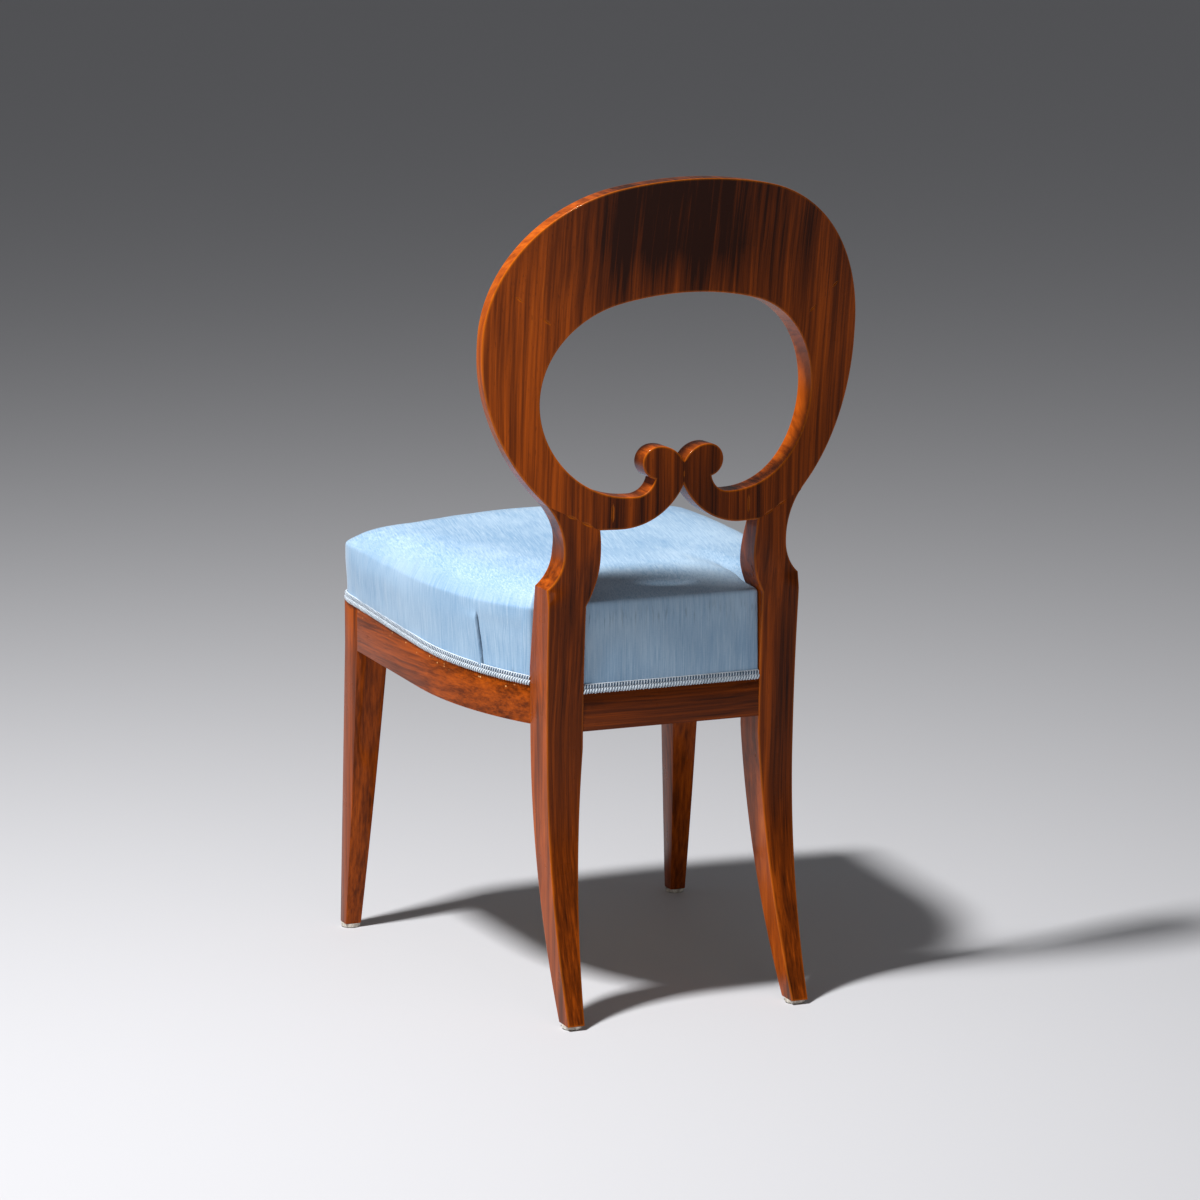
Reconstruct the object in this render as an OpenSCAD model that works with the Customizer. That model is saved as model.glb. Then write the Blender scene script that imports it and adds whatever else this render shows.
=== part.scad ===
// Balloon-back side chair: sabre rear legs that run up into a scrolled hoop,
// tapered front legs, a seat frame that narrows to the rear, and a sprung,
// stuffed seat finished with gimp. The chair faces -Y and stands on z = 0.

/* [Overall] */
// Height from the floor to the top of the hoop
chair_h = 920; // [880:1:960]
// Depth from the front glides to the top of the hoop
chair_d = 531; // [505:1:560]

/* [Hoop] */
// Width across the hoop at its widest level
hoop_w = 439; // [425:1:452]
// Distance from the top of the chair down to the widest level
shoulder_drop = 175; // [173:0.5:180]
// Radius of the shoulders
shoulder_r = 170; // [160:1:171]
// Straight run under each shoulder
side_straight = 10; // [4:1:20]
// Radius of the sides as they draw in below the shoulders
side_r = 230; // [222:1:240]
// Thickness of the hoop from front to back
back_t = 27; // [24:0.5:32]
// Radius of the hoop seen from above
plan_r = 560; // [480:5:700]
// Radius of the rearward sweep of the upper hoop
rake_r = 1600; // [1300:20:2200]
// Distance from the top down to where that sweep starts
rake_drop = 290; // [260:5:310]
// Lean of the back below the sweep, in degrees
lean_a = 2.12; // [1.5:0.02:3]

/* [Neck and knees] */
// Width across the posts at the neck, their narrowest level
neck_w = 263; // [256:1:270]
// Distance from the top of the chair down to the neck
neck_drop = 402; // [395:1:410]
// Straight run below the neck
neck_straight = 3; // [1:0.5:6]
// Radius that swells from the neck into the knee
knee_r = 48; // [42:1:56]
// Width across the knees
knee_w = 298; // [292:1:306]
// Least clear width between the posts, above the seat
bulge_gap = 182; // [176:1:188]
// Distance from the top down to that least width
bulge_drop = 410; // [404:1:416]
// Radius of the inner edge of the post below that level
bulge_r = 104; // [95:1:115]
// Radius of the inner edge of the post above that level
bulge_top_r = 250; // [200:5:320]

/* [Hand hole] */
// Width of the hoop's wood at each side of the hole
side_band = 60; // [57:0.5:67]
// Distance from the top of the chair down to the hole
hole_top_drop = 123; // [118:0.5:126]
// Distance from the top of the chair down to the hole's widest level
hole_wide_drop = 238; // [237:0.5:242]
// Radius of the hole's sides
hole_r = 108.5; // [104:0.5:109]
// Radius of the hole's lower corners
foot_r = 95; // [90:0.5:98]
// Angle below the level where the lower corners start
foot_a = 48; // [40:1:56]

/* [Scrolls] */
// Distance from the centre line to the joint between a scroll and the hoop's side
scroll_x = 80; // [76:1:83]
// Radius of the round end of a scroll
curl_r = 18; // [16:0.5:19]
// Distance from the centre line to the middle of that round end
curl_x = 29.2; // [28:0.1:31]
// Height of the middle of the round end above the bottom of the hole
curl_up = 35.7; // [34:0.1:37]
// Radius of the scroll's back, between its round end and the centre
curl_back_r = 30; // [27:0.5:32]
// Angle at which the round end runs into the back
curl_turn_a = 84; // [78:1:90]
// Radius of the notch under the round end
notch_r = 22; // [20:0.5:23]
// Distance from the centre line to the middle of the notch
notch_x = 55; // [53:0.5:57]
// Radius of the underside
under_r = 80; // [77:1:86]
// Distance from the centre line to the lowest point of the underside
under_x = 72; // [68:1:75]
// Distance from the top of the chair down to the underside
under_drop = 378; // [376:1:382]

/* [Rear legs] */
// Clear width between the posts at the seat
post_gap = 209.5; // [204:0.5:214]
// Width of a post at the seat
post_w = 42.5; // [39:0.5:45]
// Depth of a post at the seat
post_d = 47.5; // [44:0.5:52]
// Clear width between the rear feet
rear_foot_gap = 248.6; // [240:0.5:254]
// Width of a rear foot
rear_foot_w = 19.4; // [17:0.2:24]
// Distance by which the rear face of the sabre leg sweeps back
sabre_sweep = 53.1; // [46:0.1:60]
// Depth of a rear foot
rear_foot_d = 27.4; // [25:0.2:31]
// Distance from the rail's lower edge down to where the rear face stands upright
sabre_rear_drop = 41.5; // [30:0.5:60]
// Distance from the rail's lower edge down to where the front face stands upright
sabre_front_drop = 21.5; // [10:0.5:36]
// Radius of the rear face of the post above the seat
post_rear_r = 1940; // [1600:20:2600]
// Depth of the post at its knee
knee_d = 40.5; // [37:0.5:44]

/* [Front legs] */
// Width across the front legs
seat_w = 437; // [425:1:441]
// Width of a front leg at the seat
front_leg_w = 38.5; // [35:0.5:42]
// Depth of a front leg at the seat
front_leg_d = 41.5; // [38:0.5:45]
// Width and depth of a front foot
front_foot = 19; // [17:0.5:22]
// Forward rake of the front legs
front_rake = 23; // [15:1:28]
// Fullness of the rear face of a front leg
front_leg_belly = 3; // [0.5:0.5:5]

/* [Seat frame] */
// Height of the rail below the upholstery at the front legs
rail_front_h = 50.9; // [46:0.1:56]
// Height of the rail below the upholstery at the rear legs
rail_rear_h = 42.8; // [39:0.1:47]
// Height of the rail behind the upholstery
tack_h = 20; // [16:0.5:24]
// Thickness of the side and rear rails
rail_t = 26; // [23:0.5:28]
// Thickness of the front rail at the legs
front_rail_t = 28; // [25:0.5:30]
// Forward bow of the front rail
front_bow = 14; // [6:1:18]
// Length of the bent part of a side rail, along the chair's depth
side_bend_l = 177; // [160:1:200]
// Angle by which that straight part draws in
side_in_a = 3.3; // [2:0.1:4.5]
// Depth of the rebate behind the seat cover
rebate = 2.5; // [2:0.1:3.2]

/* [Joints] */
// Thickness of the tenons
tenon_t = 10; // [8:0.5:12]
// Length of the tenons on the rear rail
rear_tenon_l = 24; // [18:1:28]
// Length of the tenons on the front rail
front_tenon_l = 22; // [16:1:26]
// Length of the rear tenon of a side rail
side_rear_tenon_l = 21; // [15:1:23]
// Length of the front tenon of a side rail
side_front_tenon_l = 17; // [13:1:19]
// Shoulder above and below a tenon
tenon_shoulder = 9; // [7:0.5:12]
// Length of the tenon between a scroll and the hoop's side
scroll_tenon_l = 15; // [12:0.5:17]
// Height of that tenon
scroll_tenon_h = 20; // [16:0.5:24]
// Diameter of the dowels
dowel_d = 8; // [7:0.5:9]
// Length of the dowels in the hoop
dowel_l = 34; // [28:1:38]
// Angle of the joint between the crest and the hoop's side
crest_joint_a = 40; // [34:1:46]
// Length of a front glue block along its longer edges
block_l = 62; // [50:1:72]
// Width of a rear glue block, inwards from the end of the side rail
rear_block_w = 50.3; // [42:0.1:58]
// Length of a rear glue block in front of the post
rear_block_d = 46; // [36:1:54]
// Height of a glue block
block_h = 36; // [28:1:42]

/* [Seat] */
// Clear height between the seat's rear edge and the scrolls
seat_clear = 93; // [86:1:100]
// Fall of the seat's top edge from front to rear
seat_fall = 10; // [4:1:16]
// Height of the upholstered side at the front legs
cloth_front_h = 66.4; // [62:0.1:72]
// Height of the upholstered side at the rear legs
cloth_rear_h = 84.7; // [80:0.1:90]
// Rise of the crown above the top edge
crown_h = 35; // [25:1:42]
// Bulge of the seat's sides
side_bulge = 2.8; // [1:0.2:4]
// Rounding at the seat's top edge
edge_round = 7; // [4:0.5:10]
// Radius of the seat's front corners
corner_r = 8; // [5:0.5:11]
// Thickness of the seat cover
cover_t = 1.2; // [0.8:0.1:1.4]
// Thickness of the canvas over the springs
canvas_t = 1.2; // [0.8:0.1:2]
// Height of the gimp
gimp_h = 10.5; // [9:0.5:13]
// Thickness of the gimp
gimp_t = 2.3; // [1.6:0.1:3]

/* [Webbing and springs] */
// Width of the webbing
web_w = 50; // [44:1:56]
// Thickness of the webbing
web_t = 1.6; // [1.2:0.1:2.2]
// Distance between the straps that run from front to back
web_pitch_x = 78; // [68:1:86]
// Distance between the straps that run across
web_pitch_y = 88; // [76:1:96]
// Wire of the springs
wire_d = 3.4; // [2.8:0.1:4]
// Radius of a spring at its ends
spring_r = 34; // [30:1:38]
// Radius of a spring at its waist
spring_waist_r = 23; // [19:1:26]
// Turns of a spring
spring_turns = 4; // [3:1:5]

/* [Glides] */
// Diameter of a glide
glide_d = 22.5; // [20:0.5:26]
// Thickness of a glide
glide_t = 4.8; // [3.5:0.1:6]
// Length of a glide's nail
nail_l = 15; // [10:1:20]
// Diameter of a glide's nail
nail_d = 2.4; // [1.8:0.1:3]

/* [Hidden] */

// Clearance round tenons, dowels and nails
fit_gap = 0.12;
// Clearance between the upholstery and what it lies against
cloth_gap = 0.35;
// How far a cut runs past what it cuts
over = 2;
// Largest turn between two points of an arc, in degrees
arc_step = 4;
wood = "#8a4f22";
pale_wood = "#b98d5c";
silk = "#a9bccb";

// Points

function dir(a) = [cos(a), sin(a)];
function arc(c, r, a0, a1, n = 0) =
  let (steps = n > 0 ? n : max(2, ceil(abs(a1 - a0) / arc_step)))
  [for (i = [0:steps]) c + r * dir(a0 + (a1 - a0) * i / steps)];
function run(p, q, n) = [for (i = [0:n - 1]) p + (q - p) * i / n];
function back_to_front(v) = [for (i = [len(v) - 1:-1:0]) v[i]];
function tail(v) = [for (i = [1:len(v) - 1]) v[i]];
function flip(v) = [for (p = v) [-p[0], p[1]]];
function bowed(p, q, sag, n) =
  let (d = (q - p) / norm(q - p), side = [-d[1], d[0]])
  [for (i = [0:n]) p + (q - p) * i / n + side * sag * 4 * i * (n - i) / (n * n)];
// Radius of a flat arc that rises b above a centre set a to the side, and runs into a radius r there
function cap_r(a, b, r) = (a * a + b * b - r * r) / (2 * (b - r));
// Lower point where two circles cross
function lower_crossing(c1, r1, c2, r2) =
  let (d = norm(c2 - c1), u = (c2 - c1) / d, s = (d * d + r1 * r1 - r2 * r2) / (2 * d))
  let (h = sqrt(r1 * r1 - s * s), p = c1 + u * s, q = [u[1], -u[0]] * h)
  (q[1] < 0 ? p + q : p - q);
// Angle at which point p lies round centre c, between -180 and 180
function bearing(c, p) = atan2(p[1] - c[1], p[0] - c[0]);
// Distance from point p along angle a to a circle round c
function ray_length(p, a, c, r) =
  let (v = p - c, half_b = v * dir(a))
  sqrt(half_b * half_b - v * v + r * r) - half_b;

// Outer edge of the back, in x and z

hoop_x = hoop_w / 2;
shoulder_z = chair_h - shoulder_drop;
shoulder_c = [hoop_x - shoulder_r, shoulder_z];
crest_r = cap_r(shoulder_c[0], shoulder_drop, shoulder_r);
crest_c = [0, chair_h - crest_r];
crest_a = bearing(crest_c, shoulder_c);
side_c = [hoop_x - side_r, shoulder_z - side_straight];
neck_x = neck_w / 2;
neck_z = chair_h - neck_drop;
neck_reach = [neck_x - side_c[0], side_c[1] - neck_z];
neck_r = (neck_reach * neck_reach - side_r * side_r) / (2 * (side_r - neck_reach[0]));
neck_c = [neck_x + neck_r, neck_z];
neck_a = bearing(side_c, neck_c);
knee_x = knee_w / 2;
knee_c = [neck_x + knee_r, neck_z - neck_straight];
knee_a = acos(1 - (knee_x - neck_x) / knee_r);
knee_z = knee_c[1] - knee_r * sin(knee_a);
// Where the joint between leg and hoop meets the outer edge, as a share of the neck's arc
post_joint_share = 0.9;
post_joint_a = 180 + neck_a * post_joint_share;

// Hole in the hoop, in x and z

hole_z = chair_h - hole_wide_drop;
hole_c = [hoop_x - side_band - hole_r, hole_z];
hole_rise = hole_wide_drop - hole_top_drop;
hole_cap_r = cap_r(hole_c[0], hole_rise, hole_r);
hole_cap_c = [0, chair_h - hole_top_drop - hole_cap_r];
hole_cap_a = bearing(hole_cap_c, hole_c);
foot_c = hole_c + (hole_r - foot_r) * dir(-foot_a);
hole_low_z = foot_c[1] - foot_r;
// Height of the hole's lower edge, level up to the corner's arc
function hole_low(x) = x < foot_c[0] ? hole_low_z : foot_c[1] - sqrt(pow(foot_r, 2) - pow(x - foot_c[0], 2));
// Lower edge from one x to the next: a level stretch, the corner's arc, or both
function hole_edge(x0, x1) =
  let (
    a0 = acos(max(0, x0 - foot_c[0]) / foot_r),
    a1 = acos(max(0, x1 - foot_c[0]) / foot_r),
    level = x0 < foot_c[0] ? [[x0, hole_low_z]] : []
  )
  x1 > foot_c[0] ? concat(level, arc(foot_c, foot_r, -a0, -a1)) : concat(level, [[x1, hole_low_z]]);
corner_x = foot_c[0] + foot_r * cos(foot_a);
notch_c = [notch_x, hole_low(notch_x) + notch_r];
curl_c = [curl_x, hole_low_z + curl_up];
curl_foot = lower_crossing(curl_c, curl_r, notch_c, notch_r);
curl_back_c = curl_c - (curl_back_r - curl_r) * dir(curl_turn_a);
curl_top_a = 180 - acos(curl_back_c[0] / curl_back_r);
under_z = chair_h - under_drop;
under_c = [under_x, under_z + under_r];
under_a = 180 + acos(under_x / under_r);
bulge_x = bulge_gap / 2;
bulge_z = chair_h - bulge_drop;
bulge_c = [bulge_x + bulge_r, bulge_z];
bulge_top_c = [bulge_x + bulge_top_r, bulge_z];
bulge_top_a = 180 - asin((under_z - bulge_z) / bulge_top_r);
inner_corner = bulge_top_c + bulge_top_r * dir(bulge_top_a);

// Heights of the seat, which follow from the clear height under the scrolls

edge_rear_h = under_z - seat_clear;
edge_front_h = edge_rear_h + seat_fall;
line_rear_h = edge_rear_h - cloth_rear_h;
line_front_h = edge_front_h - cloth_front_h;
under_rear_h = line_rear_h - rail_rear_h;
under_front_h = line_front_h - rail_front_h;
sabre_rear_z = under_rear_h - sabre_rear_drop;
sabre_front_z = under_rear_h - sabre_front_drop;
foot_z = glide_t;
// Radius of an arc that leaves its tangent by s over a length l
function sweep_r(l, s) = (l * l + s * s) / (2 * s);
sabre_rear_r = sweep_r(sabre_rear_z - foot_z, sabre_sweep);
sabre_front_r = sweep_r(sabre_front_z - foot_z, sabre_sweep + post_d - rear_foot_d);

// Joint between crest and sides

crest_out_l = ray_length(hole_c, crest_joint_a, shoulder_c, shoulder_r);
crest_out_a = bearing(shoulder_c, hole_c + crest_out_l * dir(crest_joint_a));

// Shape of the back seen from the side: its rear face on the centre line

glide_r = glide_d / 2;
post_in_x = post_gap / 2;
post_out_x = post_in_x + post_w;
post_x = post_in_x + post_w / 2;
rake_z = chair_h - rake_drop;
knee_rise = post_rear_r - sqrt(pow(post_rear_r, 2) - pow(knee_z - sabre_rear_z, 2));
plan_sag = plan_r - sqrt(plan_r * plan_r - post_x * post_x);
rake_turn_a = asin(sin(lean_a) + rake_drop / rake_r);
rake_reach = rake_r * (cos(lean_a) - cos(rake_turn_a));
lean_reach = (rake_z - knee_z) * tan(lean_a);
// Rear face of the posts at the seat, set so that the top of the hoop ends the chair's depth
post_rear_y = chair_d / 2 - rake_reach - lean_reach - plan_sag - knee_rise;
post_front_y = post_rear_y - post_d;
knee_rear_y = post_rear_y + knee_rise;
axis_y = knee_rear_y + plan_sag - plan_r;
rake_c = [knee_rear_y + plan_sag + lean_reach + rake_r * cos(lean_a), rake_z - rake_r * sin(lean_a)];
function back_y(z) =
  z < rake_z
  ? knee_rear_y + plan_sag + (z - knee_z) * tan(lean_a)
  : rake_c[0] - sqrt(rake_r * rake_r - pow(z - rake_c[1], 2));
// Middle of the hoop's thickness at a point of its face
function middle_y(x, z) =
  axis_y + sqrt(pow(back_y(z) - axis_y, 2) - x * x) - back_t / 2;
rake_bands = 8;
rake_top_z = chair_h + over;
rake_levels = [for (i = [0:rake_bands]) rake_z + (rake_top_z - rake_z) * i / rake_bands];

// Seat frame seen from above

seat_x = seat_w / 2;
front_foot_y = glide_r - chair_d / 2;
front_face_y = front_foot_y - front_foot / 2 + front_rake;
front_back_y = front_face_y + front_leg_d;
front_in_x = seat_x - front_leg_w;
bow_r = (front_in_x * front_in_x + front_bow * front_bow) / (2 * front_bow);
bow_c = [0, front_face_y - front_bow + bow_r];
bow_a = asin(front_in_x / bow_r);
side_start = [seat_x, front_back_y];
side_normal = [-cos(side_in_a), -sin(side_in_a)];
side_run = (post_front_y - side_bend_l - front_back_y) / cos(side_in_a);
side_turn = side_start + side_run * [-sin(side_in_a), cos(side_in_a)];
side_chord = [post_out_x, post_front_y] - side_turn;
side_bend_r = (side_chord * side_chord) / (2 * (side_chord * side_normal));
side_bend_c = side_turn + side_bend_r * side_normal;
bow_n = 5;
corner_n = 3;
bend_n = 8;
run_n = 2;
// Outer line of the seat, set in by d, from the middle of the front to the post
function seat_edge(d, stop) =
  let (corner = max(corner_r, d + gimp_t / 2))
  concat(
    arc(bow_c, bow_r - d, -90, bow_a - 90, bow_n),
    arc([seat_x - corner, front_face_y + corner], corner - d, -90, 0, corner_n),
    run([seat_x - d, front_back_y], side_turn + d * side_normal, run_n),
    arc(side_bend_c, side_bend_r - d, side_in_a, asin((stop - side_bend_c[1]) / (side_bend_r - d)), bend_n)
  );
post_stop_y = post_front_y - cloth_gap;
post_stop_x = post_in_x - cloth_gap;
// The whole outline of the seat, set in by d, and by notch_d at its notches for the posts
function seat_outline(d, notch_d = 0) =
  let (
    rear = post_rear_y - d,
    notch_x = post_stop_x - notch_d,
    notch_y = post_stop_y - notch_d,
    inner = run([notch_x, notch_y], [notch_x, rear], run_n),
    end = run([notch_x, rear], [0, rear], run_n),
    half = concat(seat_edge(d, notch_y), inner, end)
  )
  concat(half, [[0, rear]], back_to_front(flip(tail(half))));

// Seat frame seen from the side

function level(front_h, rear_h, y) =
  front_h + (rear_h - front_h) * (y - front_back_y) / (post_front_y - front_back_y);
function under_level(y) = level(under_front_h, under_rear_h, y);
function line_level(y) = level(line_front_h, line_rear_h, y);
function top_level(y) = line_level(y) + tack_h;
function edge_level(y) = level(edge_front_h, edge_rear_h, y);
leg_head_z = top_level(front_face_y) + over;

// Placing

module on_side(side) {
  if (side > 0) {
    children();
  } else {
    mirror([1, 0, 0]) children();
  }
}
// An outline in x and z, as deep as the chair
module from_behind() {
  translate([0, chair_d, 0]) rotate([90, 0, 0]) linear_extrude(height = chair_d) children();
}
// An outline in y and z, as wide as w
module from_side(w) {
  rotate([90, 0, 90]) linear_extrude(height = w, center = true) children();
}
// What lies between two levels of the seat frame, each moved by its own offset
module frame_slice(low, high) {
  front = -chair_d;
  rear = chair_d;
  from_side(2 * chair_d) polygon([
    [front, low[0] + low[1] * front],
    [rear, low[0] + low[1] * rear],
    [rear, high[0] + high[1] * rear],
    [front, high[0] + high[1] * front]
  ]);
}
// A sloping level as its height at y = 0 and its slope, raised by d
function slope_of(front_h, rear_h, d) =
  [level(front_h, rear_h, 0) + d, (rear_h - front_h) / (post_front_y - front_back_y)];
function under_slope(d) = slope_of(under_front_h, under_rear_h, d);
function line_slope(d) = slope_of(line_front_h, line_rear_h, d);
module under_to_line() {
  frame_slice(under_slope(0), line_slope(0));
}
module under_to_top(d) {
  frame_slice(under_slope(d), line_slope(tack_h - d));
}
module box_between(low, high) {
  translate(low) cube(high - low);
}

// The hoop

module back_slab() {
  levels = concat([0], rake_levels);
  rear = [for (z = levels) [back_y(z) - axis_y, z]];
  front = [for (z = back_to_front(levels)) [back_y(z) - axis_y - back_t, z]];
  translate([0, axis_y, 0]) rotate_extrude($fn = 240) polygon(concat(rear, front));
}
module crest_face() {
  outer = concat(
    arc(crest_c, crest_r, 90, crest_a),
    tail(arc(shoulder_c, shoulder_r, crest_a, crest_out_a))
  );
  inner = concat(
    arc(hole_cap_c, hole_cap_r, 90, hole_cap_a),
    tail(arc(hole_c, hole_r, hole_cap_a, crest_joint_a))
  );
  polygon(concat(
    outer,
    back_to_front(inner),
    tail(flip(inner)),
    back_to_front(tail(flip(outer)))
  ));
}
module hoop_side_face() {
  outer = concat(
    arc(shoulder_c, shoulder_r, crest_out_a, 0),
    arc(side_c, side_r, 0, neck_a),
    tail(arc(neck_c, neck_r, 180 + neck_a, post_joint_a))
  );
  inner = concat(
    hole_edge(scroll_x, corner_x),
    tail(arc(hole_c, hole_r, -foot_a, crest_joint_a))
  );
  polygon(concat(outer, [inner_corner, [scroll_x, under_z]], inner));
}
module scroll_face() {
  polygon(concat(
    [[scroll_x, under_z]],
    arc(under_c, under_r, 270, under_a),
    arc(curl_back_c, curl_back_r, curl_top_a, curl_turn_a),
    tail(arc(curl_c, curl_r, curl_turn_a, bearing(curl_c, curl_foot))),
    tail(arc(notch_c, notch_r, bearing(notch_c, curl_foot) + 360, 270)),
    tail(hole_edge(notch_x, scroll_x))
  ));
}
// Dowels of one side, each grown by g and g longer at both ends
module crest_dowel_pair(g) {
  shares = [0.3, 0.72];
  for (share = shares) {
    reach = hole_r + (crest_out_l - hole_r) * share;
    p = hole_c + reach * dir(crest_joint_a);
    translate([p[0], middle_y(p[0], p[1]), p[1]])
      rotate([0, -crest_joint_a, 0])
        cylinder(h = dowel_l + 2 * g, d = dowel_d + 2 * g, center = true, $fn = 32);
  }
}
module post_dowel_pair(g) {
  outer_end = neck_c + neck_r * dir(post_joint_a);
  shares = [0.25, 0.53];
  for (share = shares) {
    p = inner_corner + (outer_end - inner_corner) * share;
    translate([p[0], middle_y(p[0], p[1]), p[1]])
      cylinder(h = dowel_l + 2 * g, d = dowel_d + 2 * g, center = true, $fn = 32);
  }
}
module scroll_dowel_at(g) {
  z = (under_c[1] + under_r * sin(under_a) + curl_back_c[1] + curl_back_r * sin(curl_top_a)) / 2;
  translate([0, middle_y(0, z), z])
    rotate([0, 90, 0]) cylinder(h = dowel_l + 2 * g, d = dowel_d + 2 * g, center = true, $fn = 32);
}
module scroll_tenon(g) {
  z = (under_z + hole_low(scroll_x)) / 2;
  y = middle_y(scroll_x + scroll_tenon_l / 2, z);
  box_between(
    [scroll_x - over, y - tenon_t / 2 - g, z - scroll_tenon_h / 2 - g],
    [scroll_x + scroll_tenon_l + g, y + tenon_t / 2 + g, z + scroll_tenon_h / 2 + g]
  );
}
module crest_rail() {
  color(wood) difference() {
    intersection() {
      back_slab();
      from_behind() crest_face();
    }
    for (side = [-1, 1]) {
      on_side(side) crest_dowel_pair(fit_gap);
    }
  }
}
module hoop_side(side) {
  color(wood) on_side(side) difference() {
    intersection() {
      back_slab();
      from_behind() hoop_side_face();
    }
    crest_dowel_pair(fit_gap);
    post_dowel_pair(fit_gap);
    scroll_tenon(fit_gap);
  }
}
module scroll(side) {
  color(wood) on_side(side) union() {
    difference() {
      intersection() {
        back_slab();
        from_behind() scroll_face();
      }
      scroll_dowel_at(fit_gap);
    }
    scroll_tenon(0);
  }
}
module crest_dowels() {
  color(pale_wood) for (side = [-1, 1]) {
    on_side(side) crest_dowel_pair(0);
  }
}
module post_dowels() {
  color(pale_wood) for (side = [-1, 1]) {
    on_side(side) post_dowel_pair(0);
  }
}
module scroll_dowel() {
  color(pale_wood) scroll_dowel_at(0);
}

// The rear legs

// Height at which the post's flat faces start to turn into the hoop's curved ones
blend_low_z = knee_z - back_t;
blend_front_y = knee_rear_y - knee_d;
// How far the post's front face stays clear of the hoop's at the top of the leg
leg_top_ease = 5;
module rear_leg_face() {
  polygon(concat(
    [inner_corner],
    arc(neck_c, neck_r, post_joint_a, 180),
    arc(knee_c, knee_r, 180, 180 + knee_a),
    [
      [post_out_x, sabre_front_z],
      [rear_foot_gap / 2 + rear_foot_w, foot_z],
      [rear_foot_gap / 2, foot_z],
      [post_in_x, sabre_front_z]
    ],
    arc(bulge_c, bulge_r, 180 + acos(1 - (post_in_x - bulge_x) / bulge_r), 180),
    arc(bulge_top_c, bulge_top_r, 180, bulge_top_a)
  ));
}
module rear_leg_side() {
  rear_c = [post_rear_y + sabre_rear_r, sabre_rear_z];
  front_c = [post_front_y + sabre_front_r, sabre_front_z];
  upper_c = [post_rear_y + post_rear_r, sabre_rear_z];
  rear_foot_a = asin((sabre_rear_z - foot_z) / sabre_rear_r);
  front_foot_a = asin((sabre_front_z - foot_z) / sabre_front_r);
  knee_up_a = asin((knee_z - sabre_rear_z) / post_rear_r);
  top_z = under_z + knee_r;
  polygon(concat(
    arc(rear_c, sabre_rear_r, 180 + rear_foot_a, 180, 9),
    tail(arc(upper_c, post_rear_r, 180, 180 - knee_up_a, 4)),
    [
      [back_y(top_z), top_z],
      [back_y(top_z) - plan_sag - back_t - leg_top_ease, top_z],
      [blend_front_y, knee_z],
      [post_front_y, top_level(post_front_y)]
    ],
    arc(front_c, sabre_front_r, 180, 180 + front_foot_a, 9)
  ));
}
// The curved faces of the hoop, opened out below so that they fade into the post's flat ones
module rear_leg_slab() {
  top_z = rake_z;
  joint_z = under_z;
  polygon_front = [
    [back_y(top_z) - axis_y - back_t, top_z],
    [back_y(joint_z) - axis_y - back_t, joint_z],
    [blend_front_y - axis_y + plan_sag / 2, knee_z],
    [post_front_y - axis_y, blend_low_z],
    [post_front_y - axis_y, 0]
  ];
  polygon_rear = [
    [chair_d - axis_y, 0],
    [chair_d - axis_y, blend_low_z],
    [back_y(blend_low_z) - axis_y + plan_sag / 2, blend_low_z],
    [back_y(knee_z) - axis_y, knee_z],
    [back_y(top_z) - axis_y, top_z]
  ];
  translate([0, axis_y, 0]) rotate_extrude($fn = 240) polygon(concat(polygon_rear, polygon_front));
}
module rear_leg(side) {
  color(wood) on_side(side) difference() {
    intersection() {
      from_behind() rear_leg_face();
      from_side(2 * chair_d) rear_leg_side();
      rear_leg_slab();
    }
    rear_rail_tenon(fit_gap);
    side_rail_rear_tenon(fit_gap);
    post_dowel_pair(fit_gap);
    nail_hole(rear_foot_x, rear_foot_y);
  }
}

// The front legs

module front_leg_shape() {
  foot_in_x = seat_x - front_foot;
  foot_front_y = front_foot_y - front_foot / 2;
  foot_back_y = front_foot_y + front_foot / 2;
  head_z = under_level(front_face_y);
  intersection() {
    translate([0, front_back_y, 0]) rotate([90, 0, 0]) linear_extrude(height = chair_d) polygon([
      [seat_x, foot_z],
      [seat_x, leg_head_z],
      [front_in_x, leg_head_z],
      [front_in_x, head_z],
      [foot_in_x, foot_z]
    ]);
    from_side(2 * chair_d) polygon(concat(
      [[foot_front_y, foot_z]],
      bowed([foot_back_y, foot_z], [front_back_y, head_z], -front_leg_belly, 8),
      [
        [front_back_y, leg_head_z],
        [front_face_y, leg_head_z],
        [front_face_y, head_z]
      ]
    ));
  }
}
module front_leg(side) {
  color(wood) on_side(side) difference() {
    intersection() {
      front_leg_shape();
      union() {
        frame_slice([0, 0], line_slope(0));
        intersection() {
          linear_extrude(height = chair_h) polygon(seat_outline(rebate));
          frame_slice([0, 0], line_slope(tack_h));
        }
      }
    }
    front_rail_tenon(fit_gap);
    side_rail_front_tenon(fit_gap);
    nail_hole(front_foot_x, front_foot_y);
  }
}

// The rails

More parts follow.
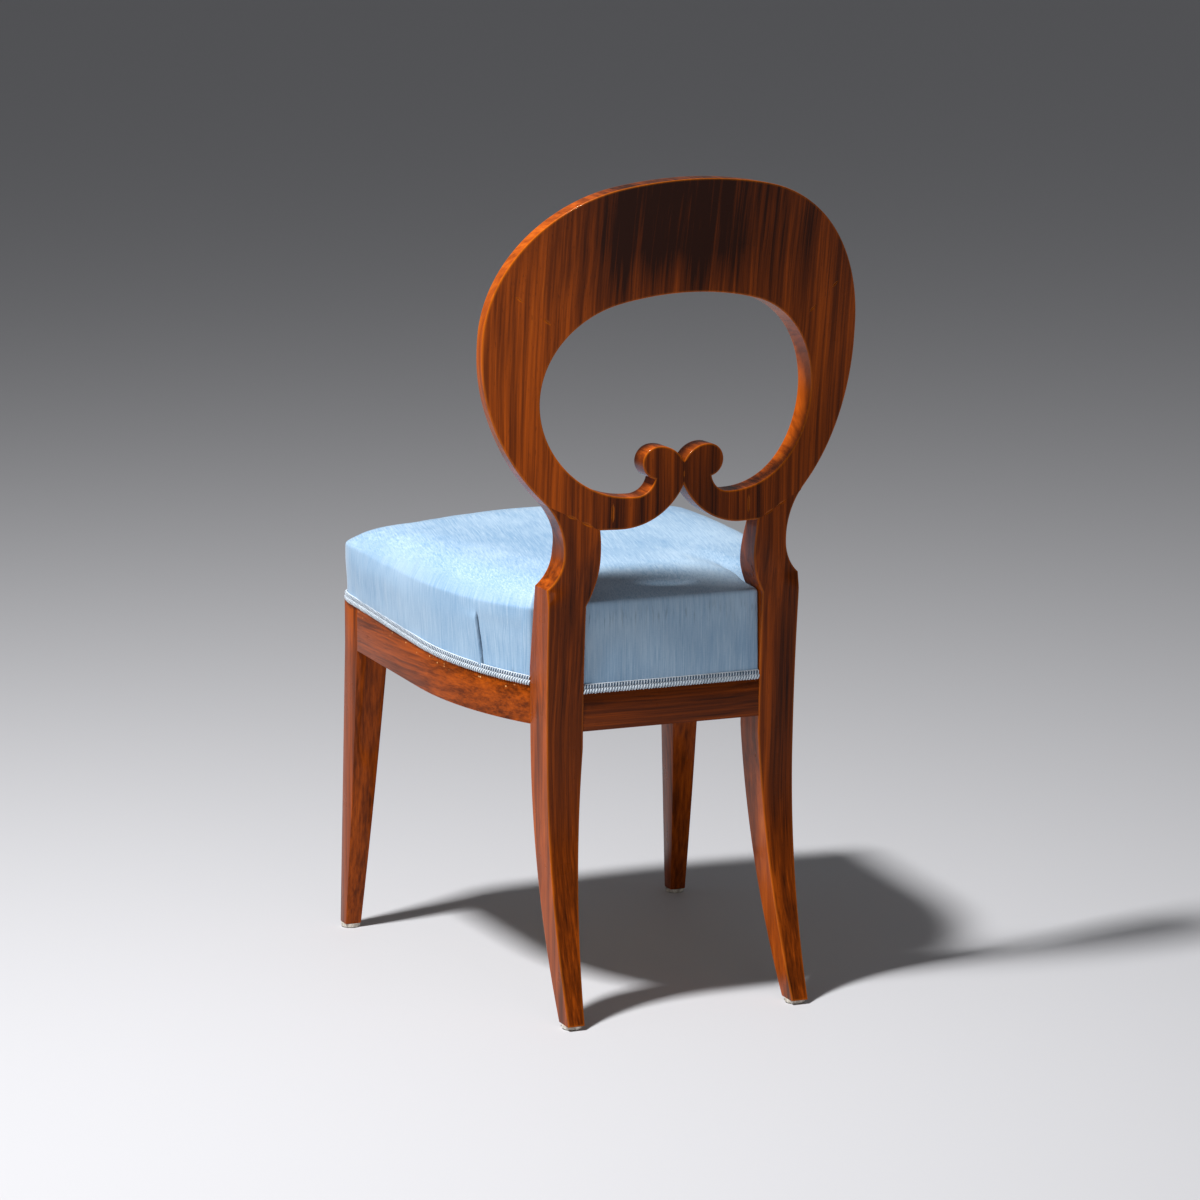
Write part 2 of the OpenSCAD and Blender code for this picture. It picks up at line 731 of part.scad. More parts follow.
// A tenon or its mortise: a block between two corners, in x and y, shouldered above and below
module tenon(low, high, g) {
  intersection() {
    box_between([low[0], low[1], 0], [high[0], high[1], chair_h]);
    under_to_top(tenon_shoulder - g);
  }
}
rear_tenon_y = post_rear_y - rail_t / 2;
front_tenon_y = front_face_y + front_rail_t / 2;
side_front_tenon_x = seat_x - rail_t / 2;
side_end_in_x = side_bend_c[0] + sqrt(pow(side_bend_r - rail_t, 2) - pow(post_front_y - side_bend_c[1], 2));
side_rear_tenon_x = (side_end_in_x + post_out_x) / 2;
module rear_rail_tenon(g) {
  tenon(
    [post_in_x - over, rear_tenon_y - tenon_t / 2 - g],
    [post_in_x + rear_tenon_l + g, rear_tenon_y + tenon_t / 2 + g],
    g
  );
}
module front_rail_tenon(g) {
  tenon(
    [front_in_x - over, front_tenon_y - tenon_t / 2 - g],
    [front_in_x + front_tenon_l + g, front_tenon_y + tenon_t / 2 + g],
    g
  );
}
module side_rail_rear_tenon(g) {
  tenon(
    [side_rear_tenon_x - tenon_t / 2 - g, post_front_y - over],
    [side_rear_tenon_x + tenon_t / 2 + g, post_front_y + side_rear_tenon_l + g],
    g
  );
}
module side_rail_front_tenon(g) {
  tenon(
    [side_front_tenon_x - tenon_t / 2 - g, front_back_y - side_front_tenon_l - g],
    [side_front_tenon_x + tenon_t / 2 + g, front_back_y + over],
    g
  );
}
// A rail from its plan: full up to the upholstery's edge, rebated above it
module rail() {
  intersection() {
    linear_extrude(height = chair_h) children();
    union() {
      under_to_line();
      intersection() {
        linear_extrude(height = chair_h) polygon(seat_outline(rebate));
        under_to_top(0);
      }
    }
  }
}
module front_rail() {
  inner_y = front_face_y + front_rail_t;
  bow = arc(bow_c, bow_r, -90, bow_a - 90, 8);
  color(wood) union() {
    rail() polygon(concat(
      [[0, inner_y], [-front_in_x, inner_y]],
      back_to_front(tail(flip(bow))),
      bow,
      [[front_in_x, inner_y]]
    ));
    for (side = [-1, 1]) {
      on_side(side) front_rail_tenon(0);
    }
  }
}
module rear_rail() {
  color(wood) union() {
    rail() translate([-post_in_x, post_rear_y - rail_t]) square([post_gap, rail_t]);
    for (side = [-1, 1]) {
      on_side(side) rear_rail_tenon(0);
    }
  }
}
function side_bend(d) =
  let (r = side_bend_r - d)
  arc(side_bend_c, r, side_in_a, asin((post_front_y - side_bend_c[1]) / r), 12);
module side_rail(side) {
  inner_start = [seat_x - rail_t, front_back_y];
  color(wood) on_side(side) union() {
    rail() polygon(concat(
      [side_start],
      side_bend(0),
      back_to_front(side_bend(rail_t)),
      [inner_start]
    ));
    side_rail_rear_tenon(0);
    side_rail_front_tenon(0);
  }
}

// The glue blocks in the corners of the frame

module block_between(plan) {
  lower = tenon_shoulder;
  intersection() {
    linear_extrude(height = chair_h) polygon(plan);
    frame_slice(under_slope(lower), under_slope(lower + block_h));
  }
}
module front_block(side) {
  inner_y = front_face_y + front_rail_t + fit_gap;
  inner_x = seat_x - rail_t - fit_gap;
  rail_in = side_start + (rail_t + fit_gap) * side_normal;
  turn_in = side_turn + (rail_t + fit_gap) * side_normal;
  reach = block_l / norm(turn_in - rail_in);
  color(pale_wood) on_side(side) block_between([
    [front_in_x - block_l, inner_y],
    [front_in_x - fit_gap, inner_y],
    [front_in_x - fit_gap, front_back_y + fit_gap],
    [inner_x, front_back_y + fit_gap],
    rail_in + (turn_in - rail_in) * reach
  ]);
}
module rear_block(side) {
  inner_y = post_rear_y - rail_t - fit_gap;
  post_face_y = post_front_y - fit_gap;
  post_side_x = post_in_x - fit_gap;
  end_x = post_out_x + rail_t;
  low_y = post_face_y - rear_block_d;
  rail_in_x = side_bend_c[0] + sqrt(pow(side_bend_r - rail_t, 2) - pow(low_y - side_bend_c[1], 2));
  color(pale_wood) on_side(side) difference() {
    block_between([
      [side_end_in_x - rear_block_w, inner_y],
      [end_x, inner_y],
      [end_x, low_y],
      [rail_in_x, low_y]
    ]);
    box_between([post_side_x, post_face_y, 0], [end_x + over, inner_y + over, chair_h]);
    linear_extrude(height = chair_h) polygon(concat(
      back_to_front(side_bend(rail_t + fit_gap)),
      [side_turn, [end_x + over, side_turn[1]], [end_x + over, post_face_y + over], [side_end_in_x, post_face_y + over]]
    ));
  }
}

// The webbing, woven under the frame

web_count = 3;
frame_slope_a = atan(under_slope(0)[1]);
web_mid_y = (front_face_y + post_rear_y) / 2;
web_rise = web_t / 2 + fit_gap / 2;
// Places a flat thing on the underside of the frame, with its middle at y = 0
module on_underside() {
  translate([0, web_mid_y, under_level(web_mid_y)]) rotate([frame_slope_a, 0, 0]) children();
}
// A strap's side view: level at both ends, over and under the straps that cross it
module strap_side(half_l, cross_pitch, first_up) {
  ease = web_w / 2 + web_t * 3;
  middle = (web_count - 1) / 2;
  crossings = [for (i = [0:web_count - 1]) (i - middle) * cross_pitch];
  ups = [for (i = [0:web_count - 1]) i % 2 == first_up ? 1 : -1];
  line = concat(
    [[-half_l, 0], [crossings[0] - ease - web_t, 0]],
    [for (i = [0:web_count - 1]) for (s = [-1, 1])
      [crossings[i] + s * min(cross_pitch / 2 - web_t, web_w / 2), ups[i] * web_rise]],
    [[crossings[web_count - 1] + ease + web_t, 0], [half_l, 0]]
  );
  lower = [for (p = line) [p[0], p[1] - web_t]];
  polygon(concat(line, back_to_front(lower)));
}
module webbing_long() {
  half_l = (post_rear_y - front_face_y) / 2 - rail_t / 3;
  color("burlywood") on_underside() for (i = [0:web_count - 1]) {
    translate([(i - (web_count - 1) / 2) * web_pitch_x, 0, 0])
      from_side(web_w) strap_side(half_l, web_pitch_y, i % 2);
  }
}
// Half the width of the frame at y, to the middle of the side rails
function half_width(y) =
  y < side_turn[1]
  ? seat_x - (y - front_back_y) * tan(side_in_a) - rail_t / 2
  : side_bend_c[0] + sqrt(pow(side_bend_r - rail_t / 2, 2) - pow(y - side_bend_c[1], 2));
module webbing_cross() {
  color("burlywood") on_underside() for (i = [0:web_count - 1]) {
    y = (i - (web_count - 1) / 2) * web_pitch_y;
    rear_edge = web_mid_y + y + web_w / 2;
    translate([0, y + web_w / 2, 0]) rotate([90, 0, 0]) linear_extrude(height = web_w)
      strap_side(half_width(rear_edge), web_pitch_x, (i + 1) % 2);
  }
}

// The springs, one on the middle crossing of the webbing and one on each corner crossing

ring_sides = 6;
rings_per_turn = 8;
spring_places = [[0, 0], [-1, -1], [1, -1], [-1, 1], [1, 1]];
web_top = web_rise + cloth_gap;
// Where a spring's wire starts, so that its lowest point lies on a strap, in degrees
spring_start_a = 55;
// Middle line of a spring h high: flat at both ends, waisted between
function spring_point(t, h) =
  let (
    s = 0.5 - 0.5 * cos(180 * t),
    z = wire_d / 2 + (h - wire_d) * (0.35 * t + 0.65 * s),
    r = spring_waist_r + (spring_r - spring_waist_r) * pow(2 * t - 1, 2)
  )
  [r * cos(spring_start_a + 360 * spring_turns * t), r * sin(spring_start_a + 360 * spring_turns * t), z];
function unit(v) = v / norm(v);
function spring_ring(t, h) =
  let (
    step = 1 / (spring_turns * rings_per_turn * 4),
    p = spring_point(t, h),
    along = unit(spring_point(t + step, h) - spring_point(t - step, h)),
    out = unit([p[0], p[1], 0] - along * (along * [p[0], p[1], 0])),
    up = cross(along, out)
  )
  [for (k = [0:ring_sides - 1]) let (a = 360 * k / ring_sides) p + wire_d / 2 * (out * cos(a) + up * sin(a))];
function fan(first, n, flipped) =
  [for (k = [1:n - 2]) flipped ? [first, first + k + 1, first + k] : [first, first + k, first + k + 1]];
function bands(rings, n) =
  [for (i = [0:rings - 2]) for (k = [0:n - 1])
    let (a = i * n + k, b = i * n + (k + 1) % n)
    each [[a, a + n, b], [b, a + n, b + n]]];
module spring(h) {
  count = spring_turns * rings_per_turn;
  points = [for (i = [0:count]) each spring_ring(i / count, h)];
  polyhedron(
    points = points,
    faces = concat(fan(0, ring_sides, false), bands(count + 1, ring_sides), fan(count * ring_sides, ring_sides, true)),
    convexity = 8
  );
}
// Least clear distance between one turn of a spring and the next
function spring_gap(h) =
  let (count = spring_turns * rings_per_turn)
  min([for (i = [0:count - rings_per_turn])
    norm(spring_point((i + rings_per_turn) / count, h) - spring_point(i / count, h)) - wire_d]);
// The springs stand square to the underside, under a canvas that slopes a little more
canopy_tilt = abs(line_slope(0)[1] - under_slope(0)[1]);
function spring_h(y) =
  (top_level(y) - under_level(y)) * cos(frame_slope_a) - web_top - cloth_gap - spring_r * canopy_tilt;
module seat_springs() {
  color("silver") on_underside() for (place = spring_places) {
    y = place[1] * web_pitch_y;
    translate([place[0] * web_pitch_x, y, web_top]) spring(spring_h(web_mid_y + y * cos(frame_slope_a)));
  }
  echo(least_gap_between_turns = spring_gap(spring_h(web_mid_y)));
}

// The upholstery

module seat_canvas() {
  color("tan") intersection() {
    linear_extrude(height = chair_h) polygon(seat_outline(rebate));
    frame_slice(line_slope(tack_h), line_slope(tack_h + canvas_t));
  }
}
// Rings of the seat's skin, from its lower edge up its side and over its crown. Each has its
// share of the side's height and its share of the bulge
side_shares = [[0.22, 0], [0.5, 0.6], [0.8, 1], [0.94, 0.7]];
// Distance of the crown's rings from the middle, as shares of the seat
crown_shares = [0.95, 0.84, 0.64, 0.36];
crown_power_share = 2.3;
hem_in = fit_gap * 6;
seat_middle = [0, web_mid_y];
function seat_crown_z(y, t) = edge_level(y) + crown_h * (1 - pow(t, crown_power_share));
function free_side(p) = p[1] > post_front_y - corner_r ? 0 : 1;
// One ring: the outline set in by its inset, less its bulge where nothing stands beside the seat
function side_ring(inset, share, bulge, drop) =
  let (notch = inset - hem_in)
  let (plain = seat_outline(inset, notch), swollen = seat_outline(inset - bulge * side_bulge, notch))
  [for (i = [0:len(plain) - 1])
    let (p = free_side(plain[i]) == 1 ? swollen[i] : plain[i], low = line_level(p[1]))
    [p[0], p[1], low + share * (edge_level(p[1]) - low) - drop]];
function crown_ring(inset, t, drop) =
  [for (p = seat_outline(inset + edge_round, inset - hem_in + edge_round))
    let (q = seat_middle + t * (p - seat_middle))
    [q[0], q[1], seat_crown_z(q[1], t) - drop]];
function skin(inset, drop) =
  concat(
    [for (s = side_shares) side_ring(inset, s[0], s[1], drop)],
    [side_ring(inset + edge_round / 3, 1, 0, drop)],
    [for (t = concat([1], crown_shares)) crown_ring(inset, t, drop)]
  );
// A closed skin over the seat: outer rings up to the middle, inner rings back down
module seat_cover() {
  hem = side_ring(hem_in, 0, 0, -cloth_gap);
  inner_hem = side_ring(hem_in + cover_t, 0, 0, -cloth_gap);
  outer = concat([hem], skin(hem_in, 0));
  inner = concat([inner_hem], skin(hem_in + cover_t, cover_t));
  n = len(hem);
  count = len(outer);
  peak = [seat_middle[0], seat_middle[1], seat_crown_z(seat_middle[1], 0)];
  low_peak = peak - [0, 0, cover_t];
  points = concat([for (r = outer) each r], [for (r = inner) each r], [peak, low_peak]);
  turned = [for (f = bands(count, n)) [f[0] + count * n, f[2] + count * n, f[1] + count * n]];
  rim = [for (k = [0:n - 1])
    let (a = k, b = (k + 1) % n, c = count * n)
    each [[a, b, a + c], [b, b + c, a + c]]];
  top = [for (k = [0:n - 1]) [(count - 1) * n + k, 2 * count * n, (count - 1) * n + (k + 1) % n]];
  top_in = [for (k = [0:n - 1])
    [(2 * count - 1) * n + k, (2 * count - 1) * n + (k + 1) % n, 2 * count * n + 1]];
  color(silk) polyhedron(points = points, faces = concat(bands(count, n), turned, rim, top, top_in), convexity = 4);
}
module seat_stuffing() {
  inset = hem_in + cover_t + cloth_gap;
  drop = cover_t + cloth_gap;
  rings = skin(inset, drop);
  base = [for (p = seat_outline(inset + fit_gap, inset - hem_in))
    [p[0], p[1], top_level(p[1]) + canvas_t]];
  upper = [for (i = [0:len(rings) - 1]) if (i > 0) rings[i]];
  all = concat([base], upper);
  n = len(base);
  count = len(all);
  peak = [seat_middle[0], seat_middle[1], seat_crown_z(seat_middle[1], 0) - drop];
  foot = [seat_middle[0], seat_middle[1], top_level(seat_middle[1]) + canvas_t];
  points = concat([for (r = all) each r], [peak, foot]);
  top = [for (k = [0:n - 1]) [(count - 1) * n + k, count * n, (count - 1) * n + (k + 1) % n]];
  bottom = [for (k = [0:n - 1]) [k, (k + 1) % n, count * n + 1]];
  color("ivory") polyhedron(points = points, faces = concat(bands(count, n), top, bottom), convexity = 4);
}
gimp_in = hem_in - fit_gap;
module gimp_slice() {
  intersection() {
    linear_extrude(height = chair_h) children();
    frame_slice(line_slope(fit_gap), line_slope(fit_gap + gimp_h));
  }
}
module gimp_round() {
  outer = seat_edge(gimp_in - gimp_t, post_stop_y);
  inner = seat_edge(gimp_in, post_stop_y);
  color("aliceblue") gimp_slice() polygon(concat(
    outer,
    back_to_front(inner),
    tail(flip(inner)),
    back_to_front(tail(flip(outer)))
  ));
}
module gimp_rear() {
  low_y = post_rear_y - gimp_in;
  color("aliceblue") gimp_slice() translate([-post_stop_x, low_y]) square([2 * post_stop_x, gimp_t]);
}

// The glides

module glide(x, y, side) {
  edge = glide_t / 3;
  color("gainsboro") on_side(side) translate([x, y, 0]) rotate_extrude($fn = 48) polygon([
    [0, 0],
    [glide_r - edge, 0],
    [glide_r, edge],
    [glide_r, glide_t],
    [nail_d / 2, glide_t],
    [nail_d / 2, glide_t + nail_l],
    [0, glide_t + nail_l]
  ]);
}
module nail_hole(x, y) {
  translate([x, y, 0])
    cylinder(h = glide_t + nail_l + fit_gap, d = nail_d + 2 * fit_gap, $fn = 24);
}
rear_foot_x = (rear_foot_gap + rear_foot_w) / 2;
front_foot_x = seat_x - front_foot / 2;
sweep_rear = sabre_rear_r - sqrt(pow(sabre_rear_r, 2) - pow(sabre_rear_z - foot_z, 2));
sweep_front = sabre_front_r - sqrt(pow(sabre_front_r, 2) - pow(sabre_front_z - foot_z, 2));
rear_foot_y = (post_rear_y + sweep_rear + post_front_y + sweep_front) / 2;

crest_rail();
hoop_side(1);  // hoop_side_left
hoop_side(-1);  // hoop_side_right
scroll(1);  // scroll_left
scroll(-1);  // scroll_right
rear_leg(1);  // rear_leg_left
rear_leg(-1);  // rear_leg_right
front_leg(1);  // front_leg_left
front_leg(-1);  // front_leg_right
front_rail();
rear_rail();
side_rail(1);  // side_rail_left
side_rail(-1);  // side_rail_right
crest_dowels();
post_dowels();
scroll_dowel();
front_block(1);  // block_front_left
front_block(-1);  // block_front_right
rear_block(1);  // block_rear_left
rear_block(-1);  // block_rear_right
webbing_long();
webbing_cross();
seat_springs();
seat_canvas();
seat_stuffing();
seat_cover();
gimp_round();
gimp_rear();
glide(front_foot_x, front_foot_y, 1);  // glide_front_left
glide(front_foot_x, front_foot_y, -1);  // glide_front_right
glide(rear_foot_x, rear_foot_y, 1);  // glide_rear_left
glide(rear_foot_x, rear_foot_y, -1);  // glide_rear_right
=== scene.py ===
# %% [markdown]
# # A side chair with a balloon back
#
# This lesson dresses a chair whose construction is already settled. The frame holds every rail, leg, dowel
# and spring at its real size. Here each visible piece gets its softened edges, its polish, its cloth and
# its trimming. All sizes are in metres, the chair faces -Y, and +X is the sitter's left.

# %% The frame
import bisect
import math

import bmesh
import bpy
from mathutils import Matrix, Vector, geometry, noise
from mathutils.bvhtree import BVHTree
from mathutils.kdtree import KDTree


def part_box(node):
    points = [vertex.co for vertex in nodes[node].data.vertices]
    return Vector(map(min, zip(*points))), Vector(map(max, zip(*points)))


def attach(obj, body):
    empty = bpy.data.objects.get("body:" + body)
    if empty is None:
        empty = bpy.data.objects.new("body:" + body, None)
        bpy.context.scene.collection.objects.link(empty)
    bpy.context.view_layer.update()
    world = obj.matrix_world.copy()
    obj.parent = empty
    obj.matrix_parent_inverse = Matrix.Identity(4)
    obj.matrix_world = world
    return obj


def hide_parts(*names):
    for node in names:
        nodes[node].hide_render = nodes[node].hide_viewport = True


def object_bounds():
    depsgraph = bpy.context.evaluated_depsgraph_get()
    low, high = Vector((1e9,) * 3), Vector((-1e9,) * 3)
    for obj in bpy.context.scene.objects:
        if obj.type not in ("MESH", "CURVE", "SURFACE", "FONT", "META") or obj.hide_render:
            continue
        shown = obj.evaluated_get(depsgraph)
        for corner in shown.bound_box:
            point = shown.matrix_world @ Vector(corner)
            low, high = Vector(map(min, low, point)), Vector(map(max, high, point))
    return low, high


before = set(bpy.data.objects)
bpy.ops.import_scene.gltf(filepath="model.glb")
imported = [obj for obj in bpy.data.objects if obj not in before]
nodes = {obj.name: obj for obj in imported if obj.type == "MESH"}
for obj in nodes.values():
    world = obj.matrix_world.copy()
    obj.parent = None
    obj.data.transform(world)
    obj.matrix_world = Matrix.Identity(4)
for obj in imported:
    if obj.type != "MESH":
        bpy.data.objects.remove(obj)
cad_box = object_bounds()
MM = 0.001
print("nodes in the frame:", len(nodes))


def linked(name, data):
    """A new object at the origin of the scene."""
    made = bpy.data.objects.new(name, data)
    bpy.context.scene.collection.objects.link(made)
    return made


# %% [markdown]
# ## The camera
#
# The picture was taken with a long lens from behind the chair's left rear corner. A long lens flattens the
# chair: its rear legs look hardly larger than its front ones. The place and the lens are those at which the
# legs, the seat and the hoop of the frame fall where the picture has them. The camera leans by a sixth of a
# degree.

# %% Camera
CAMERA_AT = Vector((1.9603, 4.55355, 1.3816))
CAMERA_AIM = Vector((-0.00227, -0.00585, 0.4195))
CAMERA_LENS = 134.5
CAMERA_ROLL = math.radians(0.17)
CAMERA_SENSOR = 36
CAMERA_REACH = 400

lens = bpy.data.cameras.new("camera")
lens.lens = CAMERA_LENS
lens.sensor_width = CAMERA_SENSOR
lens.clip_end = CAMERA_REACH
camera = linked("camera", lens)
camera.location = CAMERA_AT
turn = (CAMERA_AIM - CAMERA_AT).to_track_quat("-Z", "Y").to_euler()
turn.rotate_axis("Z", CAMERA_ROLL)
camera.rotation_euler = turn
bpy.context.scene.camera = camera
print("camera distance:", round((CAMERA_AT - CAMERA_AIM).length, 3))

# %% [markdown]
# ## Shader sums
#
# A finish is a sum of patterns. Written as Python expressions the sums stay readable, so one small class
# wraps a socket and turns +, -, * and / into Math nodes. Every other node comes from one method, which
# takes the kind of node, its settings and what goes into its sockets.


# %% Shader sums
class Shade:
    """A socket of a finish that takes part in sums."""

    def __init__(self, finish, socket):
        self.finish = finish
        self.socket = socket

    def math(self, operation, first, second=0.0, clamp=False):
        settings = {"operation": operation, "use_clamp": clamp}
        return self.finish.node("Math", settings, {0: first, 1: second})

    def held(self):
        """This value kept between 0 and 1."""
        return self.math("ADD", self, 0.0, True)


for sign, operation in {"add": "ADD", "sub": "SUBTRACT", "mul": "MULTIPLY", "truediv": "DIVIDE"}.items():
    setattr(Shade, f"__{sign}__", lambda a, b, kind=operation: a.math(kind, a, b))
    setattr(Shade, f"__r{sign}__", lambda a, b, kind=operation: a.math(kind, b, a))


class Finish:
    """A material: its shader, and the one way in which nodes are added to it."""

    def __init__(self, name, **shader):
        self.material = bpy.data.materials.new(name)
        self.material.use_nodes = True
        self.tree = self.material.node_tree
        self.shader = self.tree.nodes["Principled BSDF"]
        for socket, value in shader.items():
            self.shader.inputs[socket.replace("_", " ")].default_value = value

    def node(self, kind, settings=None, inputs=None, out=0):
        made = self.tree.nodes.new("ShaderNode" + kind)
        for name, value in (settings or {}).items():
            if name == "stops":
                self.set_stops(made.color_ramp, value)
            else:
                setattr(made, name, value)
        for key, value in (inputs or {}).items():
            self.feed(made.inputs[key], value)
        return Shade(self, made.outputs[out])

    def set_stops(self, ramp, stops):
        while len(ramp.elements) < len(stops):
            ramp.elements.new(0.5)
        for element, (place, colour) in zip(ramp.elements, stops):
            element.position = place
            element.color = (*colour, 1)

    def feed(self, socket, value):
        if isinstance(value, Shade):
            self.tree.links.new(value.socket, socket)
        else:
            socket.default_value = value

    def surface(self, **sockets):
        for name, value in sockets.items():
            self.feed(self.shader.inputs[name.replace("_", " ")], value)
        return self.material

    def place(self, scale=(1, 1, 1), turn=(0, 0, 0), shift=(0, 0, 0)):
        """The object's own coordinates, stretched, turned and shifted."""
        coordinates = self.node("TexCoord", out="Object")
        inputs = {"Vector": coordinates, "Location": shift, "Rotation": turn, "Scale": scale}
        return self.node("Mapping", {"vector_type": "POINT"}, inputs)

    def stretched(self, at, scale):
        return self.node("Mapping", None, {"Vector": at, "Scale": scale})

    def axis(self, at, name):
        return self.node("SeparateXYZ", None, {0: at}, out=name)

    def attribute(self, name):
        """A value that the mesh carries at its points."""
        return self.node("Attribute", {"attribute_name": name}, out="Fac")

    def noise(self, at, scale, detail, roughness=0.5):
        inputs = {"Vector": at, "Scale": scale, "Detail": detail, "Roughness": roughness}
        return self.node("TexNoise", None, inputs)

    def ramp(self, value, *stops):
        return self.node("ValToRGB", {"stops": stops}, {"Fac": value})

    def mix(self, share, first, second):
        return self.node("Mix", {"data_type": "RGBA"}, {"Factor": share, 6: first, 7: (*second, 1)}, out=2)

    def bump(self, height, strength, distance):
        inputs = {"Height": height, "Strength": strength, "Distance": distance}
        return self.node("Bump", None, inputs)


print("shader helpers ready")

# %% [markdown]
# ## Making a piece
#
# Every piece is finished the same way: its mesh goes into an object at the origin, it gets its material, it
# rides with the chair, and it stands for the nodes that it covers. Edges that turn by more than 30 degrees
# stay crisp, and all others are shaded smooth.

# %% Pieces
CRISP = math.radians(30)
SAME_POINT = 0.002 * MM
made_triangles = {}


def crisp_edges(bm):
    all_smooth(bm)
    for edge in bm.edges:
        edge.smooth = len(edge.link_faces) != 2 or edge.calc_face_angle() < CRISP


def object_of(bm, name):
    mesh = bpy.data.meshes.new(name)
    bm.to_mesh(mesh)
    bm.free()
    return linked(name, mesh)


def make_piece(bm, name, materials, slot, *replaced):
    piece = object_of(bm, name)
    for material in materials:
        piece.data.materials.append(material)
    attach(piece, "root")
    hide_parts(*replaced)
    made_triangles[name] = sum(len(p.vertices) - 2 for p in piece.data.polygons)
    return piece


def bridge(bm, rings):
    """Faces between each closed ring of vertices and the next."""
    for first, second in zip(rings, rings[1:]):
        for i in range(len(first)):
            j = (i + 1) % len(first)
            bm.faces.new((first[i], first[j], second[j], second[i]))


def cord(bm, rings):
    """A closed tube through rings of vertices."""
    bridge(bm, rings)
    bm.faces.new(rings[0])
    bm.faces.new(rings[-1])
    bmesh.ops.recalc_face_normals(bm, faces=bm.faces)


def all_smooth(bm):
    for face in bm.faces:
        face.smooth = True


def open_edges(bm):
    return sum(len(e.link_faces) != 2 for e in bm.edges)


def merged(node):
    """A copy of a node's mesh with its loose triangles joined up."""
    bm = bmesh.new()
    bm.from_mesh(nodes[node].data)
    bmesh.ops.remove_doubles(bm, verts=bm.verts, dist=SAME_POINT)
    bm.verts.index_update()
    bm.faces.index_update()
    return bm


# %% [markdown]
# ## Outlines of the sawn pieces
#
# The hoop, the scrolls and the rear legs were sawn from thick stock: each has one outline, seen from
# behind, and two faces. The frame's meshes hold that outline as short straight runs. Here it is read back
# from the rear face, the runs that lie in one line are joined, and curves are drawn through the corners
# that are left, so that the edge shows no flats. A turn of more than 18 degrees is a real corner and stays
# one.

# %% Outline of a sawn piece
CORNER = math.radians(18)
STRAIGHT_RUN = 40 * MM
POINT_STEP = 3.5 * MM
ON_LINE = 0.02 * MM
NEAR = 0.4 * MM
SAME_PLACE = 0.05 * MM


def area(points):
    """Twice the area inside an outline, above zero where it runs anticlockwise."""
    return sum(p.cross(q) for p, q in zip(points, points[1:] + points[:1]))


def rear_face(bm):
    """The largest patch of faces that look to the rear."""
    left = {f for f in bm.faces if f.normal.y > 0.5}
    patches = []
    while left:
        patch, edge_of_patch = set(), [left.pop()]
        while edge_of_patch:
            face = edge_of_patch.pop()
            patch.add(face)
            near = {g for e in face.edges for g in e.link_faces} & left
            left -= near
            edge_of_patch.extend(near)
        patches.append(patch)
    return max(patches, key=lambda patch: sum(f.calc_area() for f in patch))


def rim(patch, plane="xz"):
    """The longest loop of edges round a patch of faces, as points in two of its axes."""
    onward = {}
    for face in sorted(patch, key=lambda f: f.index):
        for loop in face.loops:
            if sum(f in patch for f in loop.edge.link_faces) == 1:
                onward[loop.vert] = loop.link_loop_next.vert
    rims = []
    while onward:
        start = min(onward, key=lambda v: v.index)
        vert = onward.pop(start)
        points = [start]
        while vert in onward:
            points.append(vert)
            vert = onward.pop(vert)
        rims.append([Vector(getattr(v.co, plane)) for v in points])
    return max(rims, key=lambda ps: sum((p - q).length for p, q in zip(ps, ps[1:] + ps[:1])))


def without_run_points(points):
    """The outline without the points that lie on a straight run or on each other."""
    points = [p for i, p in enumerate(points) if (p - points[i - 1]).length > SAME_PLACE]
    kept = []
    for i, p in enumerate(points):
        before = kept[-1] if kept else points[i - 1]
        after = points[(i + 1) % len(points)]
        chord = after - before
        if abs(chord.cross(p - before)) / chord.length > ON_LINE:
            kept.append(p)
    return kept


def turn_at(before, p, after):
    return abs((p - before).angle_signed(after - p, 0))


def rounded(points, corner_turn=CORNER, step=POINT_STEP):
    """Points along smooth curves through an outline, with its corners kept."""
    n = len(points)
    corner = [turn_at(points[i - 1], points[i], points[(i + 1) % n]) > corner_turn for i in range(n)]
    long = [(points[(i + 1) % n] - points[i]).length > STRAIGHT_RUN for i in range(n)]

    def tangent(i):
        """Direction of the circle through a point and its neighbours."""
        d0, d1 = points[i] - points[i - 1], points[(i + 1) % n] - points[i]
        if long[i - 1] or long[i]:
            return (d0 if long[i - 1] else d1).normalized()
        return (d0 * d1.length_squared + d1 * d0.length_squared).normalized()

    def end_tangent(i, j, known):
        """At a corner i the curve turns as much as it does at its other end j."""
        chord = (points[j] - points[i]).normalized()
        return 2 * known.dot(chord) * chord - known

    curve = []
    for i in range(n):
        j = (i + 1) % n
        p, q = points[i], points[j]
        chord = q - p
        count = max(1, round(chord.length / step))
        if long[i] or (corner[i] and corner[j]):
            curve.extend(p + chord * k / count for k in range(count))
            continue
        t0 = end_tangent(i, j, tangent(j)) if corner[i] else tangent(i)
        t1 = end_tangent(j, i, tangent(i)) if corner[j] else tangent(j)
        handle = chord.length / 3
        bent = geometry.interpolate_bezier(p, p + t0 * handle, q - t1 * handle, q, count + 1)
        curve.extend(bent[:-1])
    return [Vector(p[:2]) for p in curve]


def sawn_outline(node):
    """The outline of a piece seen from behind."""
    bm = merged(node)
    points = without_run_points(without_run_points(rim(rear_face(bm))))
    bm.free()
    if area(points) < 0:
        points.reverse()
    points = rounded(points)
    return [p for i, p in enumerate(points) if (p - points[i - 1]).length > NEAR]


print("points round the crest rail:", len(sawn_outline("crest_rail")))

# %% [markdown]
# ## Faces of the back
#
# Seen from above the back is bent to one radius, and seen from the side it leans and then sweeps to the
# rear. So its rear face is a function of x and z. Below the knees the faces fade into the flat sides of the
# posts, and below the seat these sweep back and forth as the sabre legs do. Where two faces meet, a rounded
# minimum lets one run into the other.

